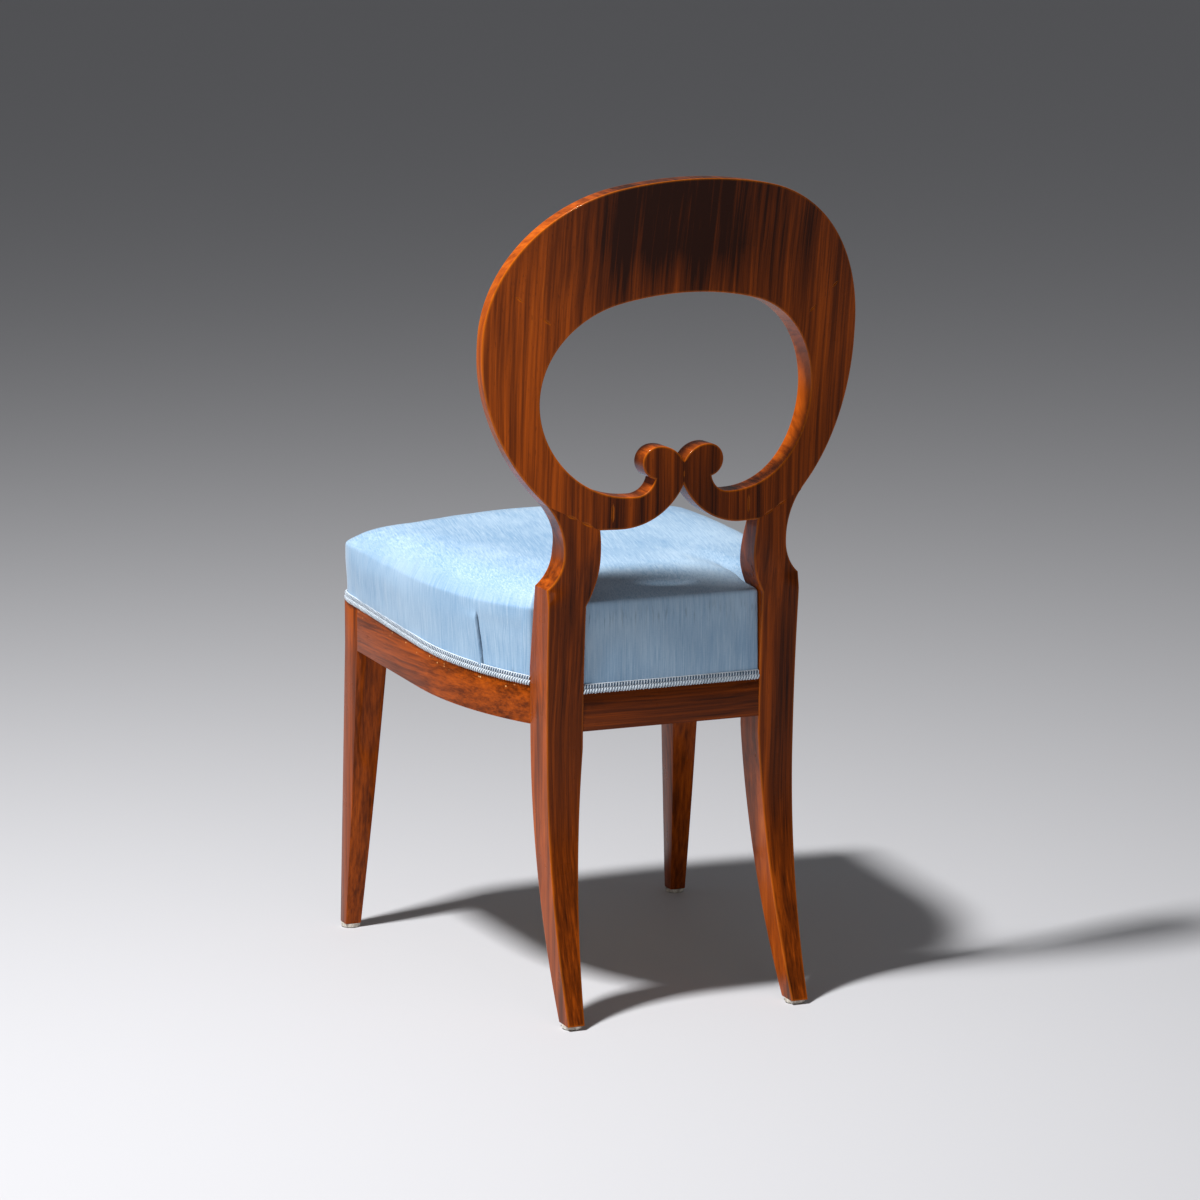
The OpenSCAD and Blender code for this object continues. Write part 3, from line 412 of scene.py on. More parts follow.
# %% Faces of the back
TOP_Z = cad_box[1].z
REAR_Y = cad_box[1].y
BACK_T = 27 * MM
PLAN_R = 560 * MM
RAKE_R = 1600 * MM
RAKE_Z = TOP_Z - 290 * MM
LEAN = math.radians(2.12)
KNEE_Z = 477.94 * MM
KNEE_D = 40.5 * MM
POST_D = 47.5 * MM
POST_REAR_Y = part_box("rear_rail")[1].y
POST_FRONT_Y = POST_REAR_Y - POST_D
POST_X = 126 * MM
UNDER_Z = TOP_Z - 378 * MM
POST_R = 1940 * MM
SABRE_REAR = (740 * MM, 280 * MM)
SABRE_FRONT = (632 * MM, 300 * MM)
SEAT_LINE_Z = 384 * MM
FADE_Z = KNEE_Z - BACK_T
SOFT_MEETING = 1.2 * MM
JOINT_TOP_Z = UNDER_Z + 48 * MM
JOINT_SETBACK = 5 * MM
rake_centre_z = RAKE_Z - RAKE_R * math.sin(LEAN)


def arc_rise(radius, along):
    """How far an arc has left its tangent, this far along it."""
    return radius - math.sqrt(radius * radius - along * along)


def back_y(z):
    """Rear face of the back on the centre line."""
    swept = max(z, RAKE_Z) - rake_centre_z
    y = REAR_Y - arc_rise(RAKE_R, TOP_Z - rake_centre_z) + arc_rise(RAKE_R, swept)
    return y + min(0, z - RAKE_Z) * math.tan(LEAN)


AXIS_Y = back_y(KNEE_Z) - PLAN_R
PLAN_SAG = arc_rise(PLAN_R, POST_X)
KNEE_REAR_Y = back_y(KNEE_Z) - PLAN_SAG


def on_bend(radius, x):
    """The y of a face that is bent to this radius round the upright axis."""
    return AXIS_Y + math.sqrt(radius * radius - x * x)


def hoop_rear(x, z):
    return on_bend(back_y(z) - AXIS_Y, x)


def hoop_front(x, z):
    return on_bend(back_y(z) - AXIS_Y - BACK_T, x)


def between(z, *stops):
    """The value at height z on a line through stops, each a height and its value."""
    for (z0, v0), (z1, v1) in zip(stops, stops[1:]):
        if z <= z1:
            return v0 + (v1 - v0) * max(0, z - z0) / (z1 - z0)
    return stops[-1][1]


def soft_max(a, b):
    return (a + b + math.hypot(a - b, SOFT_MEETING)) / 2


def leg_rear(x, z):
    sabre = arc_rise(SABRE_REAR[0], max(0, SABRE_REAR[1] - z))
    post = arc_rise(POST_R, max(0, min(z, KNEE_Z) - SABRE_REAR[1]))
    side = POST_REAR_Y + sabre + post
    if z > KNEE_Z:
        side = between(z, (KNEE_Z, KNEE_REAR_Y), (JOINT_TOP_Z, back_y(JOINT_TOP_Z)))
    bent_y = back_y(max(z, FADE_Z)) + between(z, (FADE_Z, PLAN_SAG / 2), (KNEE_Z, 0))
    slab = on_bend((REAR_Y * 2 if z < FADE_Z else bent_y) - AXIS_Y, x)
    return -soft_max(-side, -slab)


def leg_front(x, z):
    sabre = arc_rise(SABRE_FRONT[0], max(0, SABRE_FRONT[1] - z))
    knee_y = KNEE_REAR_Y - KNEE_D
    top_y = back_y(JOINT_TOP_Z) - PLAN_SAG - BACK_T - JOINT_SETBACK
    side = sabre + between(z, (SEAT_LINE_Z, POST_FRONT_Y), (KNEE_Z, knee_y), (JOINT_TOP_Z, top_y))
    radius = between(
        z,
        (FADE_Z, POST_FRONT_Y - AXIS_Y),
        (KNEE_Z, knee_y - AXIS_Y + PLAN_SAG / 2),
        (UNDER_Z, back_y(UNDER_Z) - AXIS_Y - BACK_T),
        (RAKE_Z, back_y(RAKE_Z) - AXIS_Y - BACK_T),
    )
    return soft_max(side, on_bend(radius, x))


print("rear of the knee:", round(KNEE_REAR_Y, 4), "axis of the bend:", round(AXIS_Y, 4))

# %% [markdown]
# ## Sawn pieces with rubbed arrises
#
# A hard edge never looks real: polish and two centuries of hands round it off, and the round catches the
# light. Each piece is built in rings from its rear face over the rounded arris, across its edge and over
# the other arris to its front face. At the glued joints the edge stays nearly sharp, so only a fine line
# shows there. The faces are filled by a Delaunay triangulation with points inside, because a long thin
# triangle on a bent face would show in the polish. From the neck up the edges aren't square to the faces:
# towards the front they draw in, by up to nine degrees at the widest place of the hoop.

# %% Sawn pieces
ARRIS = 1.1 * MM
JOINT_ARRIS = 0.05 * MM
SUPPORT = 1.2 * MM
ARRIS_STEPS = 4
GRID = 6 * MM
EDGE_DRAW = 0.021
NECK_Z = 545 * MM
DRAW_FULL_Z = 660 * MM
GLUE_REACH = 0.8 * MM
SHARP_TURN = 0.3
SAWN = ["crest_rail", "hoop_side_left", "hoop_side_right", "scroll_left", "scroll_right"]
SAWN += ["rear_leg_left", "rear_leg_right"]
solid_of = {}
for name in SAWN:
    bm = merged(name)
    solid_of[name] = BVHTree.FromBMesh(bm)
    bm.free()


def draw_in(z):
    """Share by which the front arris lies nearer to the centre line than the rear one."""
    t = min(1, max(0, (z - NECK_Z) / (DRAW_FULL_Z - NECK_Z)))
    return EDGE_DRAW * t * t * (3 - 2 * t)


def is_glued(node, x, y, z):
    """Whether another sawn piece lies against this point."""
    others = (tree for name, tree in solid_of.items() if name != node)
    return any(tree.find_nearest((x, y, z), GLUE_REACH)[0] for tree in others)


def inset(points, depths):
    """An outline moved inwards, each of its sides by its own depth."""
    moved = []
    n = len(points)
    for i, p in enumerate(points):
        before = (p - points[i - 1]).normalized()
        after = (points[(i + 1) % n] - p).normalized()
        n0, n1 = Vector((-before.y, before.x)), Vector((-after.y, after.x))
        d0, d1 = depths[i - 1], depths[i]
        turn = before.cross(after)
        if abs(turn) > SHARP_TURN:
            shift = Vector((d0 * n1.y - d1 * n0.y, d1 * n0.x - d0 * n1.x)) / turn
        else:
            shift = (n0 + n1).normalized() * (d0 + d1) / 2
        moved.append(p + shift)
    return moved


def fill_points(outline, grid_step):
    """Points of a grid inside an outline, for the triangulation of a face."""
    tree = KDTree(len(outline))
    for i, p in enumerate(outline):
        tree.insert((p.x, p.y, 0), i)
    tree.balance()
    low = Vector((min(p.x for p in outline), min(p.y for p in outline)))
    high = Vector((max(p.x for p in outline), max(p.y for p in outline)))
    rows = int((high.y - low.y) / grid_step) + 1
    across = int((high.x - low.x) / grid_step) + 1
    grid = [low + Vector(((i + j % 2 / 2), j)) * grid_step for j in range(rows) for i in range(across)]
    return [p for p in grid if tree.find((p.x, p.y, 0))[2] > grid_step / 2]


def add_cap(bm, ring, outline, place, grid_step=GRID):
    """Fills a ring of vertices with triangles; place puts a point of the outline on its face."""
    n = len(outline)
    points = outline + fill_points(outline, grid_step)
    made = geometry.delaunay_2d_cdt(points, [], [list(range(n))], 1, 1e-9)
    verts = {}
    for i, sources in enumerate(made[3]):
        on_ring = [s for s in sources if s < n]
        verts[i] = ring[on_ring[0]] if on_ring else None
    for corners in made[2]:
        for i in corners:
            if verts[i] is None:
                verts[i] = bm.verts.new(place(made[0][i]))
        if len({verts[i] for i in corners}) == 3:
            bm.faces.new([verts[i] for i in corners])


def close_slits(bm):
    """Fills what a triangulation leaves open where two points of its rim nearly meet."""
    bmesh.ops.delete(bm, geom=[v for v in bm.verts if not v.link_faces], context="VERTS")
    slits = [e for e in bm.edges if len(e.link_faces) == 1]
    if slits:
        bmesh.ops.holes_fill(bm, edges=slits, sides=0)


def sawn_mesh(node, rear, front):
    """The piece between its two faces. A left piece is the right one mirrored."""
    if node.endswith("_left"):
        bm = sawn_mesh(node.replace("_left", "_right"), rear, front)
        bmesh.ops.scale(bm, vec=(-1, 1, 1), verts=bm.verts)
        bmesh.ops.reverse_faces(bm, faces=bm.faces)
        return bm
    outline = sawn_outline(node)
    n = len(outline)
    depths = []
    for i, p in enumerate(outline):
        q = (p + outline[(i + 1) % n]) / 2
        y = (rear(q.x, q.y) + front(q.x, q.y)) / 2
        depths.append(JOINT_ARRIS if is_glued(node, q.x, y, q.y) else ARRIS)
    at_point = [max(depths[i - 1], depths[i]) for i in range(n)]
    bm = bmesh.new()
    arris_wear_and_highlight = bm.verts.layers.float.new("arris")
    sawn = bm.verts.layers.float.new("sawn")

    def ring(inset_share, depth_share, extra_in, extra_deep, on_front):
        """One ring: how far in from the outline and how deep under the face, as shares of the arris."""
        shape = inset(outline, [d * (inset_share + extra_in) for d in depths])
        verts = []
        for p, d in zip(shape, at_point):
            deep = d * (depth_share + extra_deep)
            x = p.x * (1 - draw_in(p.y) * on_front)
            y = front(x, p.y) + deep if on_front else rear(x, p.y) - deep
            verts.append(bm.verts.new((x, y, p.y)))
            # The arris value paints the rubbed edge lighter: thin stain there, and a painted highlight.
            verts[-1][arris_wear_and_highlight] = 1.0 if extra_in + extra_deep == 0 and d == ARRIS else 0.0
            verts[-1][sawn] = 1 - inset_share if d == ARRIS else 0.0
        return verts, [Vector((v.co.x, v.co.z)) for v in verts]

    support = SUPPORT / ARRIS
    turns = [math.pi / 2 * k / ARRIS_STEPS for k in range(ARRIS_STEPS + 1)]
    rounds = [(1 - math.sin(a), 1 - math.cos(a), 0, 0) for a in turns]
    half = [(1, 0, support, 0)] + rounds + [(0, 1, 0, support)]
    rings = [ring(*r, 0) for r in half] + [ring(*r, 1) for r in reversed(half)]
    bridge(bm, [verts for verts, _ in rings])
    add_cap(bm, *rings[0], lambda p: (p.x, rear(p.x, p.y), p.y))
    add_cap(bm, *rings[-1], lambda p: (p.x, front(p.x, p.y), p.y))
    close_slits(bm)
    bmesh.ops.recalc_face_normals(bm, faces=bm.faces)
    crisp_edges(bm)
    print(node, "outline points", n, "glued", depths.count(JOINT_ARRIS), "open edges", open_edges(bm))
    return bm


# %% [markdown]
# ## Planed pieces
#
# The front legs and the rails have plain flat sides, so their meshes in the frame are nearly right. Only
# the arrises are missing. The flat sides are merged into whole faces first, and then a bevel runs along the
# long edges.

# %% Planed pieces
PLANED_ARRIS = 0.9 * MM
FLAT = math.radians(0.2)
SHORTEST_EDGE = 2 * MM


def planed_mesh(node):
    bm = merged(node)
    bmesh.ops.dissolve_limit(bm, angle_limit=FLAT, verts=bm.verts, edges=bm.edges, delimit=set())
    edges = [e for e in bm.edges if len(e.link_faces) == 2]
    edges = [e for e in edges if e.calc_face_angle() > CRISP and e.calc_length() > SHORTEST_EDGE]
    bmesh.ops.bevel(
        bm, geom=edges, offset=PLANED_ARRIS, offset_type="OFFSET", segments=3, profile=0.5,
        affect="EDGES", clamp_overlap=True
    )
    crisp_edges(bm)
    print(node, "faces", len(bm.faces), "open edges", open_edges(bm))
    return bm


# %% [markdown]
# ## French polished fruitwood
#
# The wood is a red-brown fruitwood under a hand polish. Patterns along the grain add up to it: bands and
# streaks where the colour of the heart changes, fine fibres, and short dark pores. The hoop wears one sheet
# of veneer, so its pieces share one place in the pattern, with a dark zone in the crest. Each other board
# has its own place. The sawn edges are a little lighter. The rubbed arrises are lighter too: partly thin
# stain, partly a painted highlight along the edge. Old tack holes show as pale dots under the gimp. The
# polish is a thin coat over the wood.

# %% Wood
FRONT_LEG_Y = -199.25 * MM
POST_Y = 150.414 * MM
GIMP_LINE = (392.6 * MM, 364.3 * MM)
DARK = (0.030, 0.0055, 0.0008)
BROWN = (0.150, 0.026, 0.0012)
RED = (0.380, 0.068, 0.0026)
GOLD = (0.620, 0.155, 0.008)
WOOD_STOPS = [(0.36, DARK), (0.47, BROWN), (0.58, RED), (0.74, GOLD)]
TACK_HOLE = (0.80, 0.40, 0.14)
TACKS_FROM, TACKS_TO = 2 * MM, 10 * MM
TACKS_FADE = (2 * MM, 3 * MM)
TACK_SPACING = 160
GRAIN_DRIFT = 18 * MM
SAWN_LIGHTER = 0.05
# Share by which rubbed arrises are painted lighter, as wear and as a painted highlight.
ARRIS_WEAR_AND_HIGHLIGHT = 0.3
ZONE_DEPTH = 0.19
ZONE_WIDTH = 400 * MM
ZONE_ACROSS = [(0.05, 0.3), (0.25, 0.45), (0.38, 0.85), (0.56, 1.0), (0.7, 0.8), (0.82, 0.25), (0.95, 0.0)]
ZONE_UP = [(0.0, 0.55), (0.2, 0.3), (0.45, 0.0), (0.62, 0.15), (0.8, 1.0)]


def grey(stops):
    return [(place, (value, value, value)) for place, value in stops]


def dark_zone(finish):
    """A darker broad zone in the crest, and a weaker one in the scrolls."""
    at = finish.place()
    across, up = finish.axis(at, "X"), finish.axis(at, "Z")
    wavy = finish.noise(finish.place(scale=(1, 1, 0.2)), scale=30, detail=3) - 0.5
    beside = finish.ramp(across / ZONE_WIDTH + 0.5 + wavy * 0.16, *grey(ZONE_ACROSS))
    along = finish.ramp((up - NECK_Z) / (TOP_Z - NECK_Z) + wavy * 0.2, *grey(ZONE_UP))
    return beside * along


def tack_holes(finish, colour):
    """Old tack holes under the gimp, where the wood shows pale."""
    at = finish.place()
    y, z = finish.axis(at, "Y"), finish.axis(at, "Z")
    slope = (GIMP_LINE[1] - GIMP_LINE[0]) / (POST_Y - FRONT_LEG_Y)
    under = (z - GIMP_LINE[0] - (y - FRONT_LEG_Y) * slope) * -1
    band = ((under - TACKS_FROM) / TACKS_FADE[0]).held() * ((TACKS_TO - under) / TACKS_FADE[1]).held()
    flat = {"Vector": finish.place(scale=(0, 1, 1)), "Scale": TACK_SPACING}
    dots = finish.node("TexVoronoi", {"feature": "F1"}, flat)
    hole = ((0.18 - dots) * 14).held()
    few = ((finish.noise(at, scale=70, detail=1) - 0.42) * 12).held()
    return finish.mix(band * hole * few, colour, TACK_HOLE)


def polished_wood(name, turn, shift, tone, contrast, depth=1.0, kind="planed"):
    """A board's finish. The grain runs along z before it is turned, and depth is its change along y."""
    finish = Finish(name, Coat_Roughness=0.08, Coat_IOR=1.4, Coat_Weight=0.2, Specular_IOR_Level=0.06)
    board = finish.place(turn=turn, shift=shift)
    drift = finish.noise(board, scale=3.5, detail=2)
    warp = finish.node("VectorMath", {"operation": "SCALE"}, {0: drift, "Scale": GRAIN_DRIFT})
    bent = finish.node("VectorMath", {"operation": "ADD"}, {0: board, 1: warp})
    along = finish.stretched(bent, (1, depth, 0.010))
    streaks = finish.noise(along, scale=260, detail=3, roughness=0.55)
    bands = finish.noise(along, scale=62, detail=3)
    fibres = finish.noise(finish.stretched(bent, (1, depth, 0.02)), scale=620, detail=3, roughness=0.6)
    pores = finish.noise(finish.stretched(bent, (1, 1, 0.11)), scale=700, detail=1)
    pore = ((pores - 0.65) * 9).held()
    figure = ((streaks - 0.5) + (bands - 0.5)) * (0.62 * contrast) + (fibres - 0.5) * 0.16 + (tone + 0.5)
    if kind == "veneered":
        figure = figure - dark_zone(finish) * ZONE_DEPTH
    is_sawn = kind in ("veneered", "sawn")
    if is_sawn:
        figure = figure + finish.attribute("sawn") * SAWN_LIGHTER
    colour = finish.mix(pore * 0.35, finish.ramp(figure, *WOOD_STOPS), DARK)
    if is_sawn:
        # Wear and painted highlight: the rubbed arrises are mixed towards gold.
        colour = finish.mix(finish.attribute("arris") * ARRIS_WEAR_AND_HIGHLIGHT, colour, GOLD)
    if kind == "tacked":
        colour = tack_holes(finish, colour)
    roughness = finish.noise(board, scale=26, detail=3) * 0.16 + pore * 0.12 + 0.22
    bump = finish.bump(fibres * 0.4 - pore * 0.6, 0.10, 0.6 * MM)
    return finish.surface(Base_Color=colour, Roughness=roughness, Normal=bump)


# %% The hoop, the scrolls and the rear legs
UPRIGHT = (0, 0, 0)
VENEER_SHIFT = (0.6, 0.2, 0.9)
HOOP_FIGURE = (0.015, 0.48, 0.12, "veneered")
LEG_FIGURE = (-0.035, 0.48, 0.35, "sawn")


def own_place(number, *steps):
    """Each board's own place in the pattern."""
    return tuple(number * step for step in steps)


print("making the sawn pieces")
for number, name in enumerate(SAWN):
    if name.startswith("rear_leg"):
        mesh = sawn_mesh(name, leg_rear, leg_front)
        board = polished_wood("wood_" + name, UPRIGHT, own_place(number, 1.7, 0.9, 2.3), *LEG_FIGURE)
    else:
        mesh = sawn_mesh(name, hoop_rear, hoop_front)
        board = polished_wood("wood_" + name, UPRIGHT, VENEER_SHIFT, *HOOP_FIGURE)
    make_piece(mesh, name + "_polished", [board], "polished_wood", name)

# %% The front legs and the rails
ALONG_X = (0, math.radians(90), 0)
ALONG_Y = (math.radians(90), 0, 0)
PLANED = {
    "front_leg_left": UPRIGHT,
    "front_leg_right": UPRIGHT,
    "front_rail": ALONG_X,
    "rear_rail": ALONG_X,
    "side_rail_left": ALONG_Y,
    "side_rail_right": ALONG_Y,
}
REAR_RAIL_TONE, PLANED_TONE = -0.06, 0.02
PLANED_CONTRAST = 0.45
for number, (name, turn) in enumerate(PLANED.items()):
    tone = REAR_RAIL_TONE if name == "rear_rail" else PLANED_TONE
    kind = "tacked" if name.startswith("side_rail") else "planed"
    place = own_place(number, 2.1, 1.3, 0.7)
    board = polished_wood("wood_" + name, turn, place, tone, PLANED_CONTRAST, kind=kind)
    make_piece(planed_mesh(name), name + "_polished", [board], "polished_wood", name)

# %% [markdown]
# ## The sprung seat
#
# The seat is stuffed over springs: a crown of hair and wadding under silk, pulled down over the rails and
# tacked just above the gimp. Its sides stand straight at the gimp and swell towards their rounded top edge.
# It is built as a skin in rings: from the hem up the side, over the rounded edge, and then a cap of even
# triangles for the crown. The hem line is read from the frame, and so are the notches in which the posts
# stand.

# %% Lines of the seat
TOP_EDGE = (466 * MM, 454 * MM)
SEAT_MIDDLE = Vector((0, -21.4 * MM))
SEAT_HALF = Vector((220 * MM, 219 * MM))
REAR_LIFT = 12 * MM
REAR_POWER = 5
REAR_ZONE = (150 * MM, 192 * MM)
CROWN = 31.5 * MM
CROWN_POWER = 14
CORNER_FALL = 0.5
CORNER_POWER = 1.7
SEAT_CORNER = math.radians(40)
NOTCH = (104.2 * MM, 149.9 * MM)
BESIDE_NOTCH = NOTCH[0] + 4 * MM
HEM_STEP = 1 * MM
EDGE_DROP = 20 * MM


def level(ends, y):
    """Height at y on a line that slopes from the front legs to the posts."""
    return ends[0] + (ends[1] - ends[0]) * (y - FRONT_LEG_Y) / (POST_Y - FRONT_LEG_Y)


def hem_line():
    """The lower edge of the seat cover, seen from above, at fine steps."""
    bm = merged("seat_cover")
    low = TOP_EDGE[1] - EDGE_DROP
    edge = {f for f in bm.faces if f.normal.z < -0.5 and f.calc_center_median().z < low}
    points = without_run_points(rim(edge, "xy"))
    bm.free()
    if area(points) < 0:
        points.reverse()
    start = min(range(len(points)), key=lambda i: (points[i] - Vector(NOTCH)).length)
    return rounded(points[start:] + points[:start], SEAT_CORNER, HEM_STEP)


hem = hem_line()
walked = [0]
for p, q in zip(hem, hem[1:]):
    walked.append(walked[-1] + (p - q).length)
print("hem points:", len(hem), "round the seat:", round(walked[-1], 3))

# %% [markdown]
# The pleats by the posts take up the cloth that is cut round them, so the columns of the mesh are finer
# there. Going up the side, the line of the hem is smoothed more and more, which gives the corners their
# growing round. A point that this would push into a post is moved back to the notch's wall.

# %% Rings of the seat
PLEAT_Y = 90 * MM
PLEAT_LEAN = 0.107
COLUMN = 4.6 * MM
REAR_COLUMN = 2.2 * MM
FINE_COLUMN = 0.9 * MM
SIDE_BULGE = 2.6 * MM
EDGE_ROUND = 8 * MM
EDGE_SHARE = 0.87
SLACK = 0.3 * MM
SOFTENING = 26
SIDE_SHARES = [0, 0.05, 0.1, 0.16, 0.23, 0.31, 0.39, 0.47, 0.55, 0.63, 0.71, 0.79]
EDGE_TURNS = [0, 11, 22, 32]
RIM_SHARES = [0.985, 0.968, 0.948, 0.925, 0.9, 0.87]
REAR_PANEL_FROM = POST_Y + 40 * MM
FINE_FROM = PLEAT_Y - 12 * MM
FREE_UP_TO, FREE_FADE = POST_Y - 10 * MM, 35 * MM


def column_width(p):
    if p.y > REAR_PANEL_FROM:
        return REAR_COLUMN
    beside_pleat = abs(p.x) > BESIDE_NOTCH and FINE_FROM < p.y < POST_Y
    return FINE_COLUMN if beside_pleat else COLUMN


def columns(points):
    """The points of the hem that start a column of the skin."""
    kept = [0]
    for i in range(1, len(points)):
        p = points[i]
        corner = turn_at(points[i - 1], p, points[(i + 1) % len(points)]) > SEAT_CORNER
        if corner or walked[i] - walked[kept[-1]] > column_width(p):
            kept.append(i)
    return kept


def softened(points, times):
    """An outline smoothed so many times."""
    n = len(points)
    for _ in range(times):
        points = [(points[i - 1] + points[i] * 2 + points[(i + 1) % n]) / 4 for i in range(n)]
    return points


def clear_of_post(x, y, gap=0.0):
    """The nearest place that isn't in the notch where a post stands."""
    over_x, over_y = abs(x) - NOTCH[0] + gap, y - NOTCH[1] + gap
    if over_x <= 0 or over_y <= 0:
        return x, y
    if over_x < over_y:
        return math.copysign(NOTCH[0] - gap, x), y
    return x, NOTCH[1] - gap


def smooth_step(low, high, value):
    """0 at low and 1 at high, which may be the lower number."""
    t = min(1, max(0, (value - low) / (high - low)))
    return t * t * (3 - 2 * t)


def is_free(p):
    """1 where nothing stands beside the seat, 0 next to a post and across the rear, with a ramp between."""
    return min(1, max(0, (FREE_UP_TO - p.y) / FREE_FADE))


kept_columns = columns(hem)
print("columns:", len(kept_columns))

# %% Skin of the seat
CAP_GRID = 6.5 * MM
LEAN_IN = (PLEAT_Y - 45 * MM, PLEAT_Y - 5 * MM)
LEAN_OUT = (POST_Y, PLEAT_Y + 15 * MM)
HEM_LIFT = 0.4 * MM
SLACK_FROM_TO = (0.05, 0.5)
SWELL_FROM_TO = (0.12, 0.75)


def leaned(outline, i, rise):
    """The point of the outline for column i. Beside a pleat the columns lean as it does."""
    p = outline[i]
    window = smooth_step(*LEAN_IN, p.y) * smooth_step(*LEAN_OUT, p.y)
    if abs(p.x) < BESIDE_NOTCH or window == 0:
        return p
    steps = PLEAT_LEAN * rise * window / HEM_STEP
    place = i - steps if p.x > 0 else i + steps
    first = math.floor(place)
    return outline[first].lerp(outline[first + 1], place - first)


def add_ring(bm, soft, share, turn):
    """One ring of the skin, at a share of the side's height or a turn over the rounded edge."""
    inward = SLACK * smooth_step(*SLACK_FROM_TO, share) + EDGE_ROUND * (1 - math.cos(turn))
    swell = SIDE_BULGE * smooth_step(*SWELL_FROM_TO, share)
    outline = inset(soft, [inward - swell * is_free(p) for p in soft])
    ring = []
    for i in kept_columns:
        rise = share * (TOP_EDGE[1] - GIMP_LINE[1])
        x, y = clear_of_post(*leaned(outline, i, rise))
        low = level(GIMP_LINE, y) + HEM_LIFT
        high = level(TOP_EDGE, y) - EDGE_ROUND + REAR_LIFT * smooth_step(*REAR_ZONE, y)
        z = low + (high - low) * share / EDGE_SHARE + EDGE_ROUND * math.sin(turn)
        vert = bm.verts.new((x, y, z))
        vert[bm.verts.layers.float["around"]] = walked[i]
        vert[bm.verts.layers.float["height"]] = z - low
        ring.append(vert)
    return ring


def rim_table(outline):
    """Directions and distances of an outline seen from the middle of the seat."""
    out = [p - SEAT_MIDDLE for p in outline]
    rows = sorted((math.atan2(p.y, p.x), p.length) for p in out)
    return [a for a, _ in rows], [d for _, d in rows]


def crown_place(p, table):
    """The point of the crown over p. It falls from the middle to the rim, which is 1 in every direction."""
    out = p - SEAT_MIDDLE
    place = bisect.bisect(table[0], math.atan2(out.y, out.x)) % len(table[0])
    t = min(1, out.length * 2 / (table[1][place] + table[1][place - 1]))
    corner = min(1, abs(out.x * out.y) / (SEAT_HALF.x * SEAT_HALF.y)) ** CORNER_POWER
    rear = smooth_step(*REAR_ZONE, p.y)
    fall = t ** (CROWN_POWER + (REAR_POWER - CROWN_POWER) * rear)
    rise = CROWN * (1 - fall) * (1 - CORNER_FALL * corner) + REAR_LIFT * rear * fall
    rise -= EDGE_ROUND * (1 - math.sin(math.radians(EDGE_TURNS[-1])))
    return p.x, p.y, level(TOP_EDGE, p.y) + rise


def seat_skin():
    """The outer skin, open at the hem."""
    bm = bmesh.new()
    for name in ("around", "height"):
        bm.verts.layers.float.new(name)
    around, height = (bm.verts.layers.float[name] for name in ("around", "height"))
    rings = []
    soft, smoothed = hem, 0
    for share, turn in [(s, 0) for s in SIDE_SHARES] + [(EDGE_SHARE, math.radians(a)) for a in EDGE_TURNS]:
        wanted = round(SOFTENING * share * share)
        soft, smoothed = softened(soft, wanted - smoothed), wanted
        rings.append(add_ring(bm, soft, share, turn))
    edge = [v.co.xy for v in rings[-1]]
    table = rim_table(edge)
    for share in RIM_SHARES:
        verts = [bm.verts.new(crown_place(SEAT_MIDDLE.lerp(p, share), table)) for p in edge]
        for vert, below in zip(verts, rings[-1]):
            vert[around] = below[around]
            vert[height] = below[height] + (vert.co - below.co).length
        rings.append(verts)
    bridge(bm, rings)
    last = [v.co.xy for v in rings[-1]]
    add_cap(bm, rings[-1], last, lambda p: crown_place(p, table), CAP_GRID)
    on_rings = {v for ring in rings for v in ring}
    for vert in bm.verts:
        if vert not in on_rings:
            vert[height] = CROWN + TOP_EDGE[0]
    bmesh.ops.recalc_face_normals(bm, faces=bm.faces)
    if max(bm.verts, key=lambda v: v.co.z).normal.z < 0:
        bmesh.ops.reverse_faces(bm, faces=bm.faces)
    print("skin:", len(bm.verts), "points,", len(bm.faces), "faces")
    return bm


# %% [markdown]
# Silk never lies quite as it was drawn. A cloth simulation gives it its small unevenness: the skin is held
# at the hem and against the posts, air pressure from inside stands for the stuffing, and gravity is off,
# because the springs carry the cloth. The pressure never stops pushing, so no point may move by more than 2
# mm.

# %% Cloth
LAST_FRAME = 12
MOST_MOVEMENT = 2 * MM
HELD_WITHIN = 1.2 * MM
HELD_BELOW = 2 * MM
PRESSURE = 0.6
CLOTH = {"quality": 4, "mass": 0.3, "tension_stiffness": 20, "compression_stiffness": 20}
CLOTH |= {"shear_stiffness": 8, "bending_stiffness": 1.5, "vertex_group_mass": "held"}


def applied(holder):
    """The object's mesh with its modifiers applied. The object itself is removed."""
    graph = bpy.context.evaluated_depsgraph_get()
    mesh = bpy.data.meshes.new_from_object(holder.evaluated_get(graph), depsgraph=graph)
    bpy.data.objects.remove(holder)
    return mesh


def is_held(vert, height):
    at_wall = clear_of_post(vert.co.x, vert.co.y, HELD_WITHIN) != (vert.co.x, vert.co.y)
    return height < HELD_BELOW or at_wall


